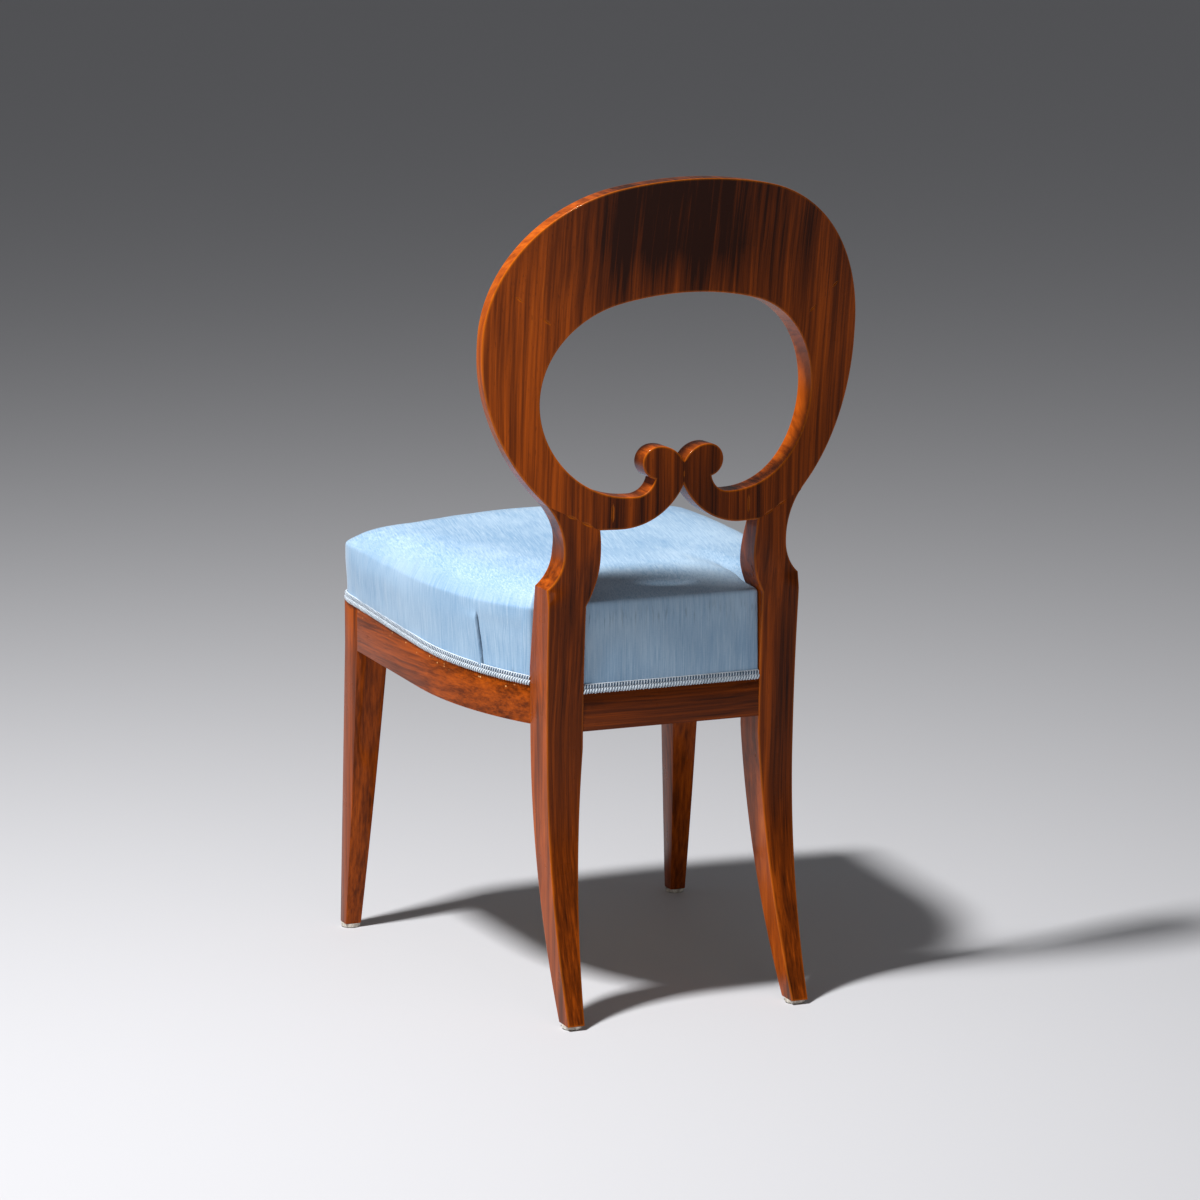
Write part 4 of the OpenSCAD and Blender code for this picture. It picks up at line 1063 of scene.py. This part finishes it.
def settle(bm):
    """The skin after the pressure has filled it, as a mesh."""
    height = bm.verts.layers.float["height"]
    held = [v.index for v in bm.verts if is_held(v, v[height])]
    before = [v.co.copy() for v in bm.verts]
    skin = object_of(bm, "skin")
    skin.vertex_groups.new(name="held").add(held, 1, "REPLACE")
    cloth = skin.modifiers.new("cloth", "CLOTH")
    cloth.point_cache.frame_end = LAST_FRAME
    for name, value in CLOTH.items():
        setattr(cloth.settings, name, value)
    cloth.settings.use_pressure = True
    cloth.settings.uniform_pressure_force = PRESSURE
    cloth.settings.effector_weights.gravity = 0
    for frame_number in range(1, LAST_FRAME + 1):
        bpy.context.scene.frame_set(frame_number)
    mesh = applied(skin)
    bpy.context.scene.frame_set(1)
    moves = [v.co - p for v, p in zip(mesh.vertices, before)]
    for vert, p, move in zip(mesh.vertices, before, moves):
        move *= min(1, MOST_MOVEMENT / max(move.length, MM / 1000))
        x, y = clear_of_post(p.x + move.x, p.y + move.y)
        vert.co = (x, y, p.z + move.z)
    lengths = sorted(m.length / MM for m in moves)
    print("moved: middle", round(lengths[len(lengths) // 2], 2), "most", round(lengths[-1], 2), "mm")
    return mesh


def subdivided(mesh):
    holder = linked("subdivided", mesh)
    finer = holder.modifiers.new("finer", "SUBSURF")
    finer.levels = finer.render_levels = 1
    return applied(holder)


# %% [markdown]
# Then come the marks of the upholsterer's hand. A deep pleat stands in each side, a hand's breadth before
# the post. Short tucks sit just over the gimp beside it. The rear panel has little puckers under its top
# edge, where the cloth was drawn tight. The long sides wave a little between the tacks. The slits of the
# pleats, the creases of the tucks and the pinched folds of the puckers are also painted darker, as shade.

# %% Pleats and puckers
PLEAT_LOW = (0.5 * MM, 3 * MM)
PLEAT_HIGH = (60 * MM, 67 * MM)
FLAP_RISE = 1.9 * MM
PANEL_DEPTH = 0.9 * MM
PANEL_TOP = (56 * MM, 74 * MM)
PANEL_LOW = (-2 * MM, 25 * MM)
SLIT_DEPTH = 3.2 * MM
SLIT_HALF = 1.0 * MM
TUCKS = [(108 * MM, 12 * MM, 0.7 * MM), (131 * MM, 14 * MM, 1.9 * MM), (146 * MM, 26 * MM, 1.9 * MM)]
FLAP_RUN = 11 * MM
PANEL_START = 0.8 * MM
TUCK_START, TUCK_HALF, TUCK_LEAN = 2 * MM, 1.1 * MM, 0.06
# Depth of a tuck at which its crease is painted fully dark, as shade.
TUCK_DEPTH_FOR_FULL_SHADE = 2 * MM
WAVE, WAVE_SIZE, WAVE_START = 0.45 * MM, (13 * MM, 70 * MM), 12 * MM
PUCKER, PUCKER_SIZE = 1.1 * MM, (4.5 * MM, 40 * MM)
PUCKER_BELOW, PUCKER_WANDER, PUCKER_BAND = 13 * MM, 5 * MM, 9 * MM
REAR_MARKS_FROM = POST_Y + 20 * MM
SIDE_MARKS_FROM = NOTCH[0] + 10 * MM
MARKS_START, MARKS_END = 4 * MM, 100 * MM
MARK_LIMIT = (1.0 * MM, 6 * MM)
OVER_RAIL = (22 * MM, 30 * MM)


def bell(distance, half_width):
    return math.exp(-((distance / half_width) ** 2))


def pleat(p, height):
    """Outward shift of the cloth beside a pleat, and how deep in the slit it lies, which sets the painted
    shade of the slit.
    """
    d = p.y - (PLEAT_Y + 2 * MM - PLEAT_LEAN * height)
    window = smooth_step(*PLEAT_LOW, height) * (1 - smooth_step(*PLEAT_HIGH, height))
    flap = FLAP_RISE * math.exp(d / FLAP_RUN) if d < 0 else 0
    panel = smooth_step(0, PANEL_START, d) * smooth_step(*PANEL_LOW, height)
    panel *= 1 - smooth_step(*PANEL_TOP, height)
    slit = bell(d - SLIT_HALF, SLIT_HALF * 0.8)
    return window * (flap - SLIT_DEPTH * slit) - PANEL_DEPTH * panel, window * min(1, 1.3 * slit)


def tucks(p, height):
    # The second sum is how strongly the tucks' creases are painted darker, as shade.
    total, crease = 0, 0
    for y, length, depth in TUCKS:
        window = smooth_step(0, TUCK_START, height) * (1 - smooth_step(length * 0.5, length, height))
        cut = window * bell(p.y - y + height * TUCK_LEAN, TUCK_HALF)
        total -= depth * cut
        crease += cut * min(1, depth / TUCK_DEPTH_FOR_FULL_SHADE)
    return total, crease


def waves(around, height):
    """Soft upright waves of the long sides."""
    place = Vector((around / WAVE_SIZE[0], height / WAVE_SIZE[1], 4.2))
    return WAVE * noise.noise(place) * smooth_step(0, WAVE_START, height)


def rear_puckers(p, height):
    """Short upright puckers under the top edge of the rear panel, and how strong they are, which sets the
    painted shade in their folds.
    """
    place = Vector((p.x / PUCKER_SIZE[0], height / PUCKER_SIZE[1], 9.1))
    high = level(TOP_EDGE, p.y) - level(GIMP_LINE, p.y)
    window = bell(height - (high - PUCKER_BELOW + PUCKER_WANDER * noise.noise(place / 3)), PUCKER_BAND)
    return PUCKER * noise.noise(place) * window, window


def mark_cloth(mesh):
    for name in ("crease", "pucker"):
        mesh.attributes.new(name, "FLOAT", "POINT")
    around, crease, pucker = (mesh.attributes[name].data for name in ("around", "crease", "pucker"))
    outward = [Vector((v.normal.x, v.normal.y, 0)) for v in mesh.vertices]
    for vert in mesh.vertices:
        p = vert.co
        h = p.z - level(GIMP_LINE, p.y)
        out = outward[vert.index]
        if h > MARKS_END or out.length < 0.2:
            continue
        shift, depth = waves(around[vert.index].value, h), 0
        if p.y > REAR_MARKS_FROM:
            # The puckers' strength is kept, and it sets the painted shade in their folds.
            more, pucker[vert.index].value = rear_puckers(p, h)
            shift += more
        elif abs(p.x) > SIDE_MARKS_FROM and is_free(p):
            for mark in (pleat, tucks):
                more, deep = mark(p, h)
                shift += more
                depth += deep
        # How strongly the silk is painted darker here, as shade in the slits and tucks.
        crease[vert.index].value = min(1, depth)
        deepest = MARK_LIMIT[0] + (MARK_LIMIT[1] - MARK_LIMIT[0]) * smooth_step(*OVER_RAIL, h)
        shift = max(shift, -deepest) * smooth_step(0, MARKS_START, h)
        moved = p + out.normalized() * shift
        vert.co = (*clear_of_post(moved.x, moved.y), moved.z)


# %% [markdown]
# The skin is closed underneath like a tray: a narrow band inside the hem, which lies against the rebated
# rails, and a floor on the canvas over the springs. The finished seat stands for the stuffing and for the
# cover of the frame.

# %% The seat
RAIL_TOP = 20 * MM
CANVAS_T = 1.35 * MM
HEM_T = 1.5 * MM


def close_underneath(bm):
    hem_edges = [e for e in bm.edges if len(e.link_faces) == 1]
    onward = {}
    for e in hem_edges:
        loop = e.link_loops[0]
        onward[loop.link_loop_next.vert] = loop.vert
    start = next(iter(onward))
    ring, vert = [start], onward[start]
    while vert != start:
        ring.append(vert)
        vert = onward[vert]
    points = [v.co.xy for v in ring]
    side = math.copysign(1, area(points))
    inner = inset(points, [HEM_T * side] * len(points))
    low = [bm.verts.new((p.x, p.y, v.co.z)) for p, v in zip(inner, ring)]
    tray = [bm.verts.new((p.x, p.y, level(GIMP_LINE, p.y) + RAIL_TOP + CANVAS_T)) for p in inner]
    bridge(bm, [ring, low, tray])
    bmesh.ops.triangulate(bm, faces=[bm.faces.new(tray)])
    bmesh.ops.recalc_face_normals(bm, faces=bm.faces)


skin = seat_skin()
mesh = subdivided(settle(skin))
mark_cloth(mesh)
bm = bmesh.new()
bm.from_mesh(mesh)
close_underneath(bm)
all_smooth(bm)
print("seat:", len(bm.faces), "faces, open edges", open_edges(bm))

# %% [markdown]
# ## Silk with slubs
#
# The cover is a plain-woven silk. Its weft has slubs, thicker stretches of thread that show as pale
# streaks. On top they run from front to rear, a little aslant, and down the sides they hang upright. So
# there are two patterns, and the way the cloth faces decides between them. The sides measure their streaks
# along the hem, with an attribute that was kept from the making of the skin. Two more attributes paint
# shade: the slits and tucks are darkened, and so are the pinched folds of the rear puckers.

# %% Silk
SILK_DEEP = (0.200, 0.350, 0.530)
SILK_PALE = (0.405, 0.550, 0.695)
SILK_SLUB = (0.560, 0.690, 0.800)
# The dark blue of the painted shade in slits, creases and folds.
SILK_PAINTED_SHADE = (0.008, 0.022, 0.050)
SIDE_CALM = 0.75
SLUB_SLANT = math.radians(12.3)


def streaks(finish, at):
    """Slubs and threads on coordinates whose first axis goes across the threads."""
    long = finish.stretched(at, (1, 0.028, 1))
    slubs = finish.noise(long, scale=600, detail=4, roughness=0.75)
    threads = finish.noise(long, scale=1500, detail=1)
    cross = finish.noise(finish.stretched(at, (0.16, 1, 1)), scale=1300, detail=1)
    return slubs, threads, cross


def slubbed_silk():
    finish = Finish("slubbed_silk", Specular_IOR_Level=0.4, Sheen_Weight=0.30, Sheen_Roughness=0.35)
    top = streaks(finish, finish.place(turn=(0, 0, SLUB_SLANT)))
    around, height = finish.attribute("around"), finish.attribute("height")
    side = streaks(finish, finish.node("CombineXYZ", None, {0: around, 1: height}))
    up = finish.axis(finish.node("NewGeometry", out="Normal"), "Z")
    is_top = ((up - 0.45) / 0.3).held()
    is_side = 1 - is_top
    calm = [(b - 0.5) * SIDE_CALM + 0.5 for b in side]
    slubs, threads, cross = [a * is_top + b * is_side for a, b in zip(top, calm)]
    cloudy = finish.noise(finish.place(), scale=9, detail=3)
    pale = (slubs - 0.5) * 1.7 + (threads - 0.5) * 0.5 + (cross - 0.5) * 0.25 + cloudy
    colour = finish.ramp(pale, (0.20, SILK_DEEP), (0.78, SILK_PALE))
    colour = finish.mix(((slubs - 0.62) * 6).held() * 0.55, colour, SILK_SLUB)
    upright = finish.node("CombineXYZ", None, {0: around, 1: height * 0.12})
    folds = finish.noise(upright, scale=330, detail=2)
    # Painted shade: the pinched folds of the rear puckers are darkened.
    pinched_shade = ((folds - 0.55) * 7).held() * finish.attribute("pucker")
    # Painted shade: the slits, the tucks' creases and the pinched folds are mixed towards a dark blue.
    painted_shade = (finish.attribute("crease") + pinched_shade * 0.35).held() * 0.93
    colour = finish.mix(painted_shade, colour, SILK_PAINTED_SHADE)
    bump = finish.bump(slubs * 0.7 + threads * 0.3 + cross * 0.3, 0.22, 0.7 * MM)
    return finish.surface(Base_Color=colour, Roughness=0.62 - slubs * 0.22, Normal=bump)


seat = make_piece(bm, "seat_pad", [slubbed_silk()], "seat_silk", "seat_cover", "seat_stuffing")

# %% [markdown]
# ## The gimp
#
# The gimp is two cords side by side, glued over the tacks. The upper one is dark blue with white stitches
# round it, like a ladder. The lower one is nearly white, and its stitches lean. Thin white cords lie over
# and between them. The cords are swept along the hem line. The stitches are one small bent thread, repeated
# by Geometry Nodes at a fixed pitch along the same line.

# %% Paths of the gimp
GIMP_OUT = 1.0 * MM
PATH_STEP = 4
POST_GAP = 0.6 * MM
REAR_LINE_Y = POST_Y + 46 * MM


def gimp_path(points, up):
    """Places along the hem line with the outward direction at each, up from the line of the gimp."""
    path = []
    for i, p in enumerate(points):
        along = (points[min(i + 1, len(points) - 1)] - points[max(i - 1, 0)]).normalized()
        out = Vector((along.y, -along.x, 0))
        path.append((Vector((p.x, p.y, level(GIMP_LINE, p.y) + up)) + out * GIMP_OUT, out))
    return path


rear_line = [p for p in hem if p.y > REAR_LINE_Y and abs(p.x) < NOTCH[0] - POST_GAP]
round_line = [p for p in hem if p.y < NOTCH[1] - POST_GAP]
print("gimp paths:", len(rear_line), len(round_line), round_line[0], round_line[-1])


def oval(bm, at, wide, high, sides):
    """A ring of vertices round a point, on an oval with these two half axes."""
    turns = [math.tau * k / sides for k in range(sides)]
    return [bm.verts.new(at + wide * math.cos(a) + high * math.sin(a)) for a in turns]


def swept(bm, path, high, thick, sides=10):
    """A closed cord of oval section along a path."""
    up = Vector((0, 0, high))
    cord(bm, [oval(bm, at, out * thick, up, sides) for at, out in path[::PATH_STEP] + [path[-1]]])


# %% One stitch
STITCH_STEPS, STITCH_SIDES = 6, 5
STITCH_FROM, STITCH_TURN = -105, 210
THREAD_FLAT = 0.7


def stitch(high, thick, lean, thread):
    """A thread bent round the outer side of a cord. The cord runs along x, with the seat on its +y side."""
    bm = bmesh.new()
    wide, rings = Vector((thread, 0, 0)), []
    for k in range(STITCH_STEPS + 1):
        a = math.radians(STITCH_FROM + STITCH_TURN * k / STITCH_STEPS)
        y, z = -(thick + thread * 0.5) * math.cos(a), (high + thread * 0.4) * math.sin(a)
        out = Vector((0, -math.cos(a), math.sin(a))) * thread * THREAD_FLAT
        rings.append(oval(bm, Vector((lean * math.sin(a), y, z)), wide, out, STITCH_SIDES))
    cord(bm, rings)
    all_smooth(bm)
    return object_of(bm, "stitch")


# %% Stitching tree
STITCH_SEED = 7
STITCH_UNEVEN = 0.06


def stitching_tree():
    """Repeats a stitch along a line of edges."""
    tree = bpy.data.node_groups.new("stitching", "GeometryNodeTree")
    kinds = {"Line": "Geometry", "Pitch": "Float", "Stitch": "Object", "Thread": "Material"}
    for name, kind in (kinds | {"Unevenness": "Float"}).items():
        tree.interface.new_socket(name, in_out="INPUT", socket_type="NodeSocket" + kind)
    tree.interface.new_socket("Stitches", in_out="OUTPUT", socket_type="NodeSocketGeometry")
    given = tree.nodes.new("NodeGroupInput").outputs

    def node(kind, inputs=None, **settings):
        """Adds a node and gives its outputs."""
        made = tree.nodes.new(kind)
        for name, value in settings.items():
            setattr(made, name, value)
        for key, value in (inputs or {}).items():
            if isinstance(value, bpy.types.NodeSocket):
                tree.links.new(value, made.inputs[key])
            else:
                made.inputs[key].default_value = value
        return made.outputs

    curve = node("GeometryNodeMeshToCurve", {"Mesh": given["Line"]})[0]
    spaced = node("GeometryNodeResampleCurve", {"Curve": curve, "Length": given["Pitch"]}, mode="LENGTH")[0]
    tangent = node("GeometryNodeInputTangent")[0]
    turn = "FunctionNodeAlignRotationToVector"
    along = node(turn, {"Vector": tangent}, axis="X")[0]
    upright = node(turn, {"Rotation": along, "Vector": (0, 0, 1)}, axis="Z", pivot_axis="X")[0]
    thing = node("GeometryNodeObjectInfo", {"Object": given["Stitch"]})["Geometry"]
    least = node("ShaderNodeMath", {0: 1.0, 1: given["Unevenness"]}, operation="SUBTRACT")[0]
    most = node("ShaderNodeMath", {0: 1.0, 1: given["Unevenness"]}, operation="ADD")[0]
    size = node("FunctionNodeRandomValue", {2: least, 3: most, "Seed": STITCH_SEED}, data_type="FLOAT")[1]
    places = {"Points": spaced, "Instance": thing, "Rotation": upright, "Scale": size}
    copies = node("GeometryNodeInstanceOnPoints", places)[0]
    real = node("GeometryNodeRealizeInstances", {"Geometry": copies})[0]
    done = node("GeometryNodeSetMaterial", {"Geometry": real, "Material": given["Thread"]})[0]
    node("NodeGroupOutput", {0: done})
    return tree


def stitched(tree, path, one, material, pitch):
    """The stitches along one path, as a mesh."""
    mesh = bpy.data.meshes.new("line")
    places = [at for at, _ in path]
    mesh.from_pydata(places, [(i, i + 1) for i in range(len(places) - 1)], [])
    holder = linked("line", mesh)
    modifier = holder.modifiers.new("stitching", "NODES")
    modifier.node_group = tree
    values = {"Pitch": pitch, "Stitch": one, "Thread": material, "Unevenness": STITCH_UNEVEN}
    for item in tree.interface.items_tree:
        if item.name in values:
            modifier[item.identifier] = values[item.name]
    return applied(holder)


# %% Threads and cords
def cord_finish(name, dark, pale):
    """Spun thread: fine twisted streaks, matt, with a pale and a dark tone."""
    finish = Finish(name, Specular_IOR_Level=0.25, Sheen_Weight=0.3, Sheen_Roughness=0.5)
    at = finish.place()
    twist = finish.noise(at, scale=900, detail=2)
    soil = finish.noise(at, scale=40, detail=2)
    colour = finish.ramp(twist * 0.7 + soil * 0.3, (0.35, dark), (0.65, pale))
    bump = finish.bump(twist, 0.4, 0.4 * MM)
    return finish.surface(Base_Color=colour, Roughness=0.55 + soil * 0.3, Normal=bump)


white_thread = cord_finish("white_thread", (0.40, 0.47, 0.54), (0.74, 0.80, 0.86))
blue_cord = cord_finish("blue_cord", (0.035, 0.065, 0.11), (0.09, 0.15, 0.23))
pale_cord = cord_finish("pale_cord", (0.16, 0.22, 0.30), (0.38, 0.47, 0.56))

# %% The gimp
STITCH_PITCH = 3.3 * MM
UPPER = {"up": 7.6 * MM, "high": 2.1 * MM, "thick": 1.0 * MM, "lean": 0.25 * MM, "thread": 0.66 * MM}
LOWER = {"up": 2.75 * MM, "high": 2.1 * MM, "thick": 1.1 * MM, "lean": 0.9 * MM, "thread": 1.08 * MM}
THIN = [(10.2 * MM, 0.55 * MM), (5.1 * MM, 0.5 * MM)]
THIN_FLAT = 0.3 * MM
THIN_SIDES = 6
stitching = stitching_tree()


def give_material(bm, first, number):
    """Gives a material to the faces from the first on."""
    bm.faces.ensure_lookup_table()
    for face in bm.faces[first:]:
        face.material_index = number


def gimp(line, name, node):
    bm = bmesh.new()
    for number, sizes in ((1, UPPER), (2, LOWER)):
        first = len(bm.faces)
        path = gimp_path(line, sizes["up"])
        swept(bm, path, sizes["high"], sizes["thick"])
        give_material(bm, first, number)
        one = stitch(sizes["high"], sizes["thick"], sizes["lean"], sizes["thread"])
        made = stitched(stitching, path, one, white_thread, STITCH_PITCH)
        bpy.data.objects.remove(one)
        first = len(bm.faces)
        bm.from_mesh(made)
        give_material(bm, first, 0)
    for up, radius in THIN:
        swept(bm, gimp_path(line, up), radius, radius + THIN_FLAT, THIN_SIDES)
    all_smooth(bm)
    piece = make_piece(bm, name, [white_thread, blue_cord, pale_cord], "gimp", node)
    print(name, "faces", len(piece.data.polygons))


gimp(round_line, "gimp_round_stitched", "gimp_round")
gimp(rear_line, "gimp_rear_stitched", "gimp_rear")

# %% [markdown]
# ## What shows from below
#
# Under the seat stand the parts that carry it: jute webbing, springs of drawn wire, canvas, glue blocks of
# bare beech, and a pale glide under each foot. Their shapes in the frame are right, so they only get their
# finishes.

# %% Finishes of the frame's own parts
def jute(name, dark, pale, threads):
    """A coarse plain weave: two sets of threads that cross."""
    finish = Finish(name, Specular_IOR_Level=0.2, Sheen_Weight=0.15)
    at = finish.place()
    wave = {"Vector": at, "Scale": threads, "Distortion": 1.2}
    warp, weft = (finish.node("TexWave", {"bands_direction": way}, wave) for way in "XY")
    hairs = finish.noise(at, scale=500, detail=3)
    weave = warp * 0.5 + weft * 0.5
    colour = finish.ramp(weave * 0.6 + hairs * 0.5, (0.30, dark), (0.85, pale))
    bump = finish.bump(weave + hairs * 0.4, 0.6, 0.8 * MM)
    return finish.surface(Base_Color=colour, Roughness=0.8 + hairs * 0.1, Normal=bump)


def bare_beech():
    """Unpolished beech with short flecks along its grain."""
    finish = Finish("bare_beech", Specular_IOR_Level=0.3)
    at = finish.place(scale=(0.2, 1, 1))
    grain = finish.noise(at, scale=160, detail=3)
    flecks = finish.noise(finish.place(scale=(0.4, 1, 1)), scale=900, detail=1)
    tones = (0.35, (0.30, 0.17, 0.085)), (0.65, (0.52, 0.34, 0.19))
    colour = finish.ramp(grain * 0.7 + flecks * 0.3, *tones)
    bump = finish.bump(grain + flecks * 0.5, 0.2, 0.5 * MM)
    return finish.surface(Base_Color=colour, Roughness=0.55 + flecks * 0.2, Normal=bump)


def drawn_wire():
    """Spring steel, copper washed, with dull and rusty places."""
    finish = Finish("drawn_wire", Specular_IOR_Level=0.5)
    tarnish = finish.noise(finish.place(), scale=60, detail=3)
    colour = finish.ramp(tarnish, (0.35, (0.10, 0.055, 0.03)), (0.6, (0.42, 0.36, 0.30)))
    bump = finish.bump(tarnish, 0.15, 0.3 * MM)
    metal, rough = 0.55 + tarnish * 0.4, 0.65 - tarnish * 0.3
    return finish.surface(Base_Color=colour, Metallic=metal, Roughness=rough, Normal=bump)


def moulded_glide():
    """Pale moulded glide, scuffed grey where it meets the floor."""
    finish = Finish("moulded_glide", Specular_IOR_Level=0.4)
    scuffs = finish.noise(finish.place(scale=(1, 1, 0.4)), scale=300, detail=3)
    colour = finish.ramp(scuffs, (0.38, (0.42, 0.38, 0.32)), (0.62, (0.74, 0.70, 0.62)))
    bump = finish.bump(scuffs, 0.25, 0.3 * MM)
    return finish.surface(Base_Color=colour, Roughness=0.40 + scuffs * 0.3, Normal=bump)


OWN_FINISHES = {
    "webbing": jute("jute_webbing", (0.16, 0.10, 0.05), (0.56, 0.44, 0.27), 260),
    "canvas": jute("jute_canvas", (0.20, 0.14, 0.08), (0.60, 0.49, 0.33), 420),
    "block": bare_beech(),
    "dowel": bare_beech(),
    "springs": drawn_wire(),
    "glide": moulded_glide(),
}
for name, node in nodes.items():
    for word, material in OWN_FINISHES.items():
        if word in name:
            for slot in node.material_slots:
                slot.material = material
            print(name, "is finished as", material.name)

# %% [markdown]
# ## Floor and light
#
# The chair stands on a plain pale floor. A softbox hangs high on the sitter's left, a little to the rear,
# where it falls on the edges of the hoop and on the top of the seat. A weaker one fills from beside the
# camera, and the world gives the rest.

# %% Floor and light
FLOOR_HALF = 40
FLOOR_COLOUR = (0.56, 0.56, 0.58, 1)
FLOOR_ROUGHNESS = 0.6
LIGHTS = {
    "key": {"at": (1.60, 0.50, 3.38), "aim": (0, 0, 0.45), "size": (0.36, 0.45), "power": 205},
    "fill": {"at": (0.4, 4.2, 1.5), "aim": (0, 0, 0.5), "size": (1.4, 1.4), "power": 8},
}
WORLD_COLOUR = (0.80, 0.81, 0.84, 1)
WORLD_STRENGTH = 0.16

bm = bmesh.new()
bmesh.ops.create_grid(bm, x_segments=2, y_segments=2, size=FLOOR_HALF)
floor = object_of(bm, "floor")
paint = Finish("floor_paint").surface(Base_Color=FLOOR_COLOUR, Roughness=FLOOR_ROUGHNESS)
floor.data.materials.append(paint)
for name, light in LIGHTS.items():
    lamp = bpy.data.lights.new(name, "AREA")
    lamp.shape = "RECTANGLE"
    lamp.size, lamp.size_y = light["size"]
    lamp.energy = light["power"]
    holder = linked(name, lamp)
    holder.location = light["at"]
    toward = Vector(light["aim"]) - Vector(light["at"])
    holder.rotation_euler = toward.to_track_quat("-Z", "Y").to_euler()
world = bpy.data.worlds.new("studio")
bpy.context.scene.world = world
world.use_nodes = True
background = world.node_tree.nodes["Background"]
background.inputs["Color"].default_value = WORLD_COLOUR
background.inputs["Strength"].default_value = WORLD_STRENGTH
bpy.context.scene.view_settings.view_transform = "Standard"

# %% [markdown]
# ## Finishing
#
# The triangles of the made pieces are counted and printed.

# %% Triangles
print("triangles:", sum(made_triangles.values()), made_triangles)
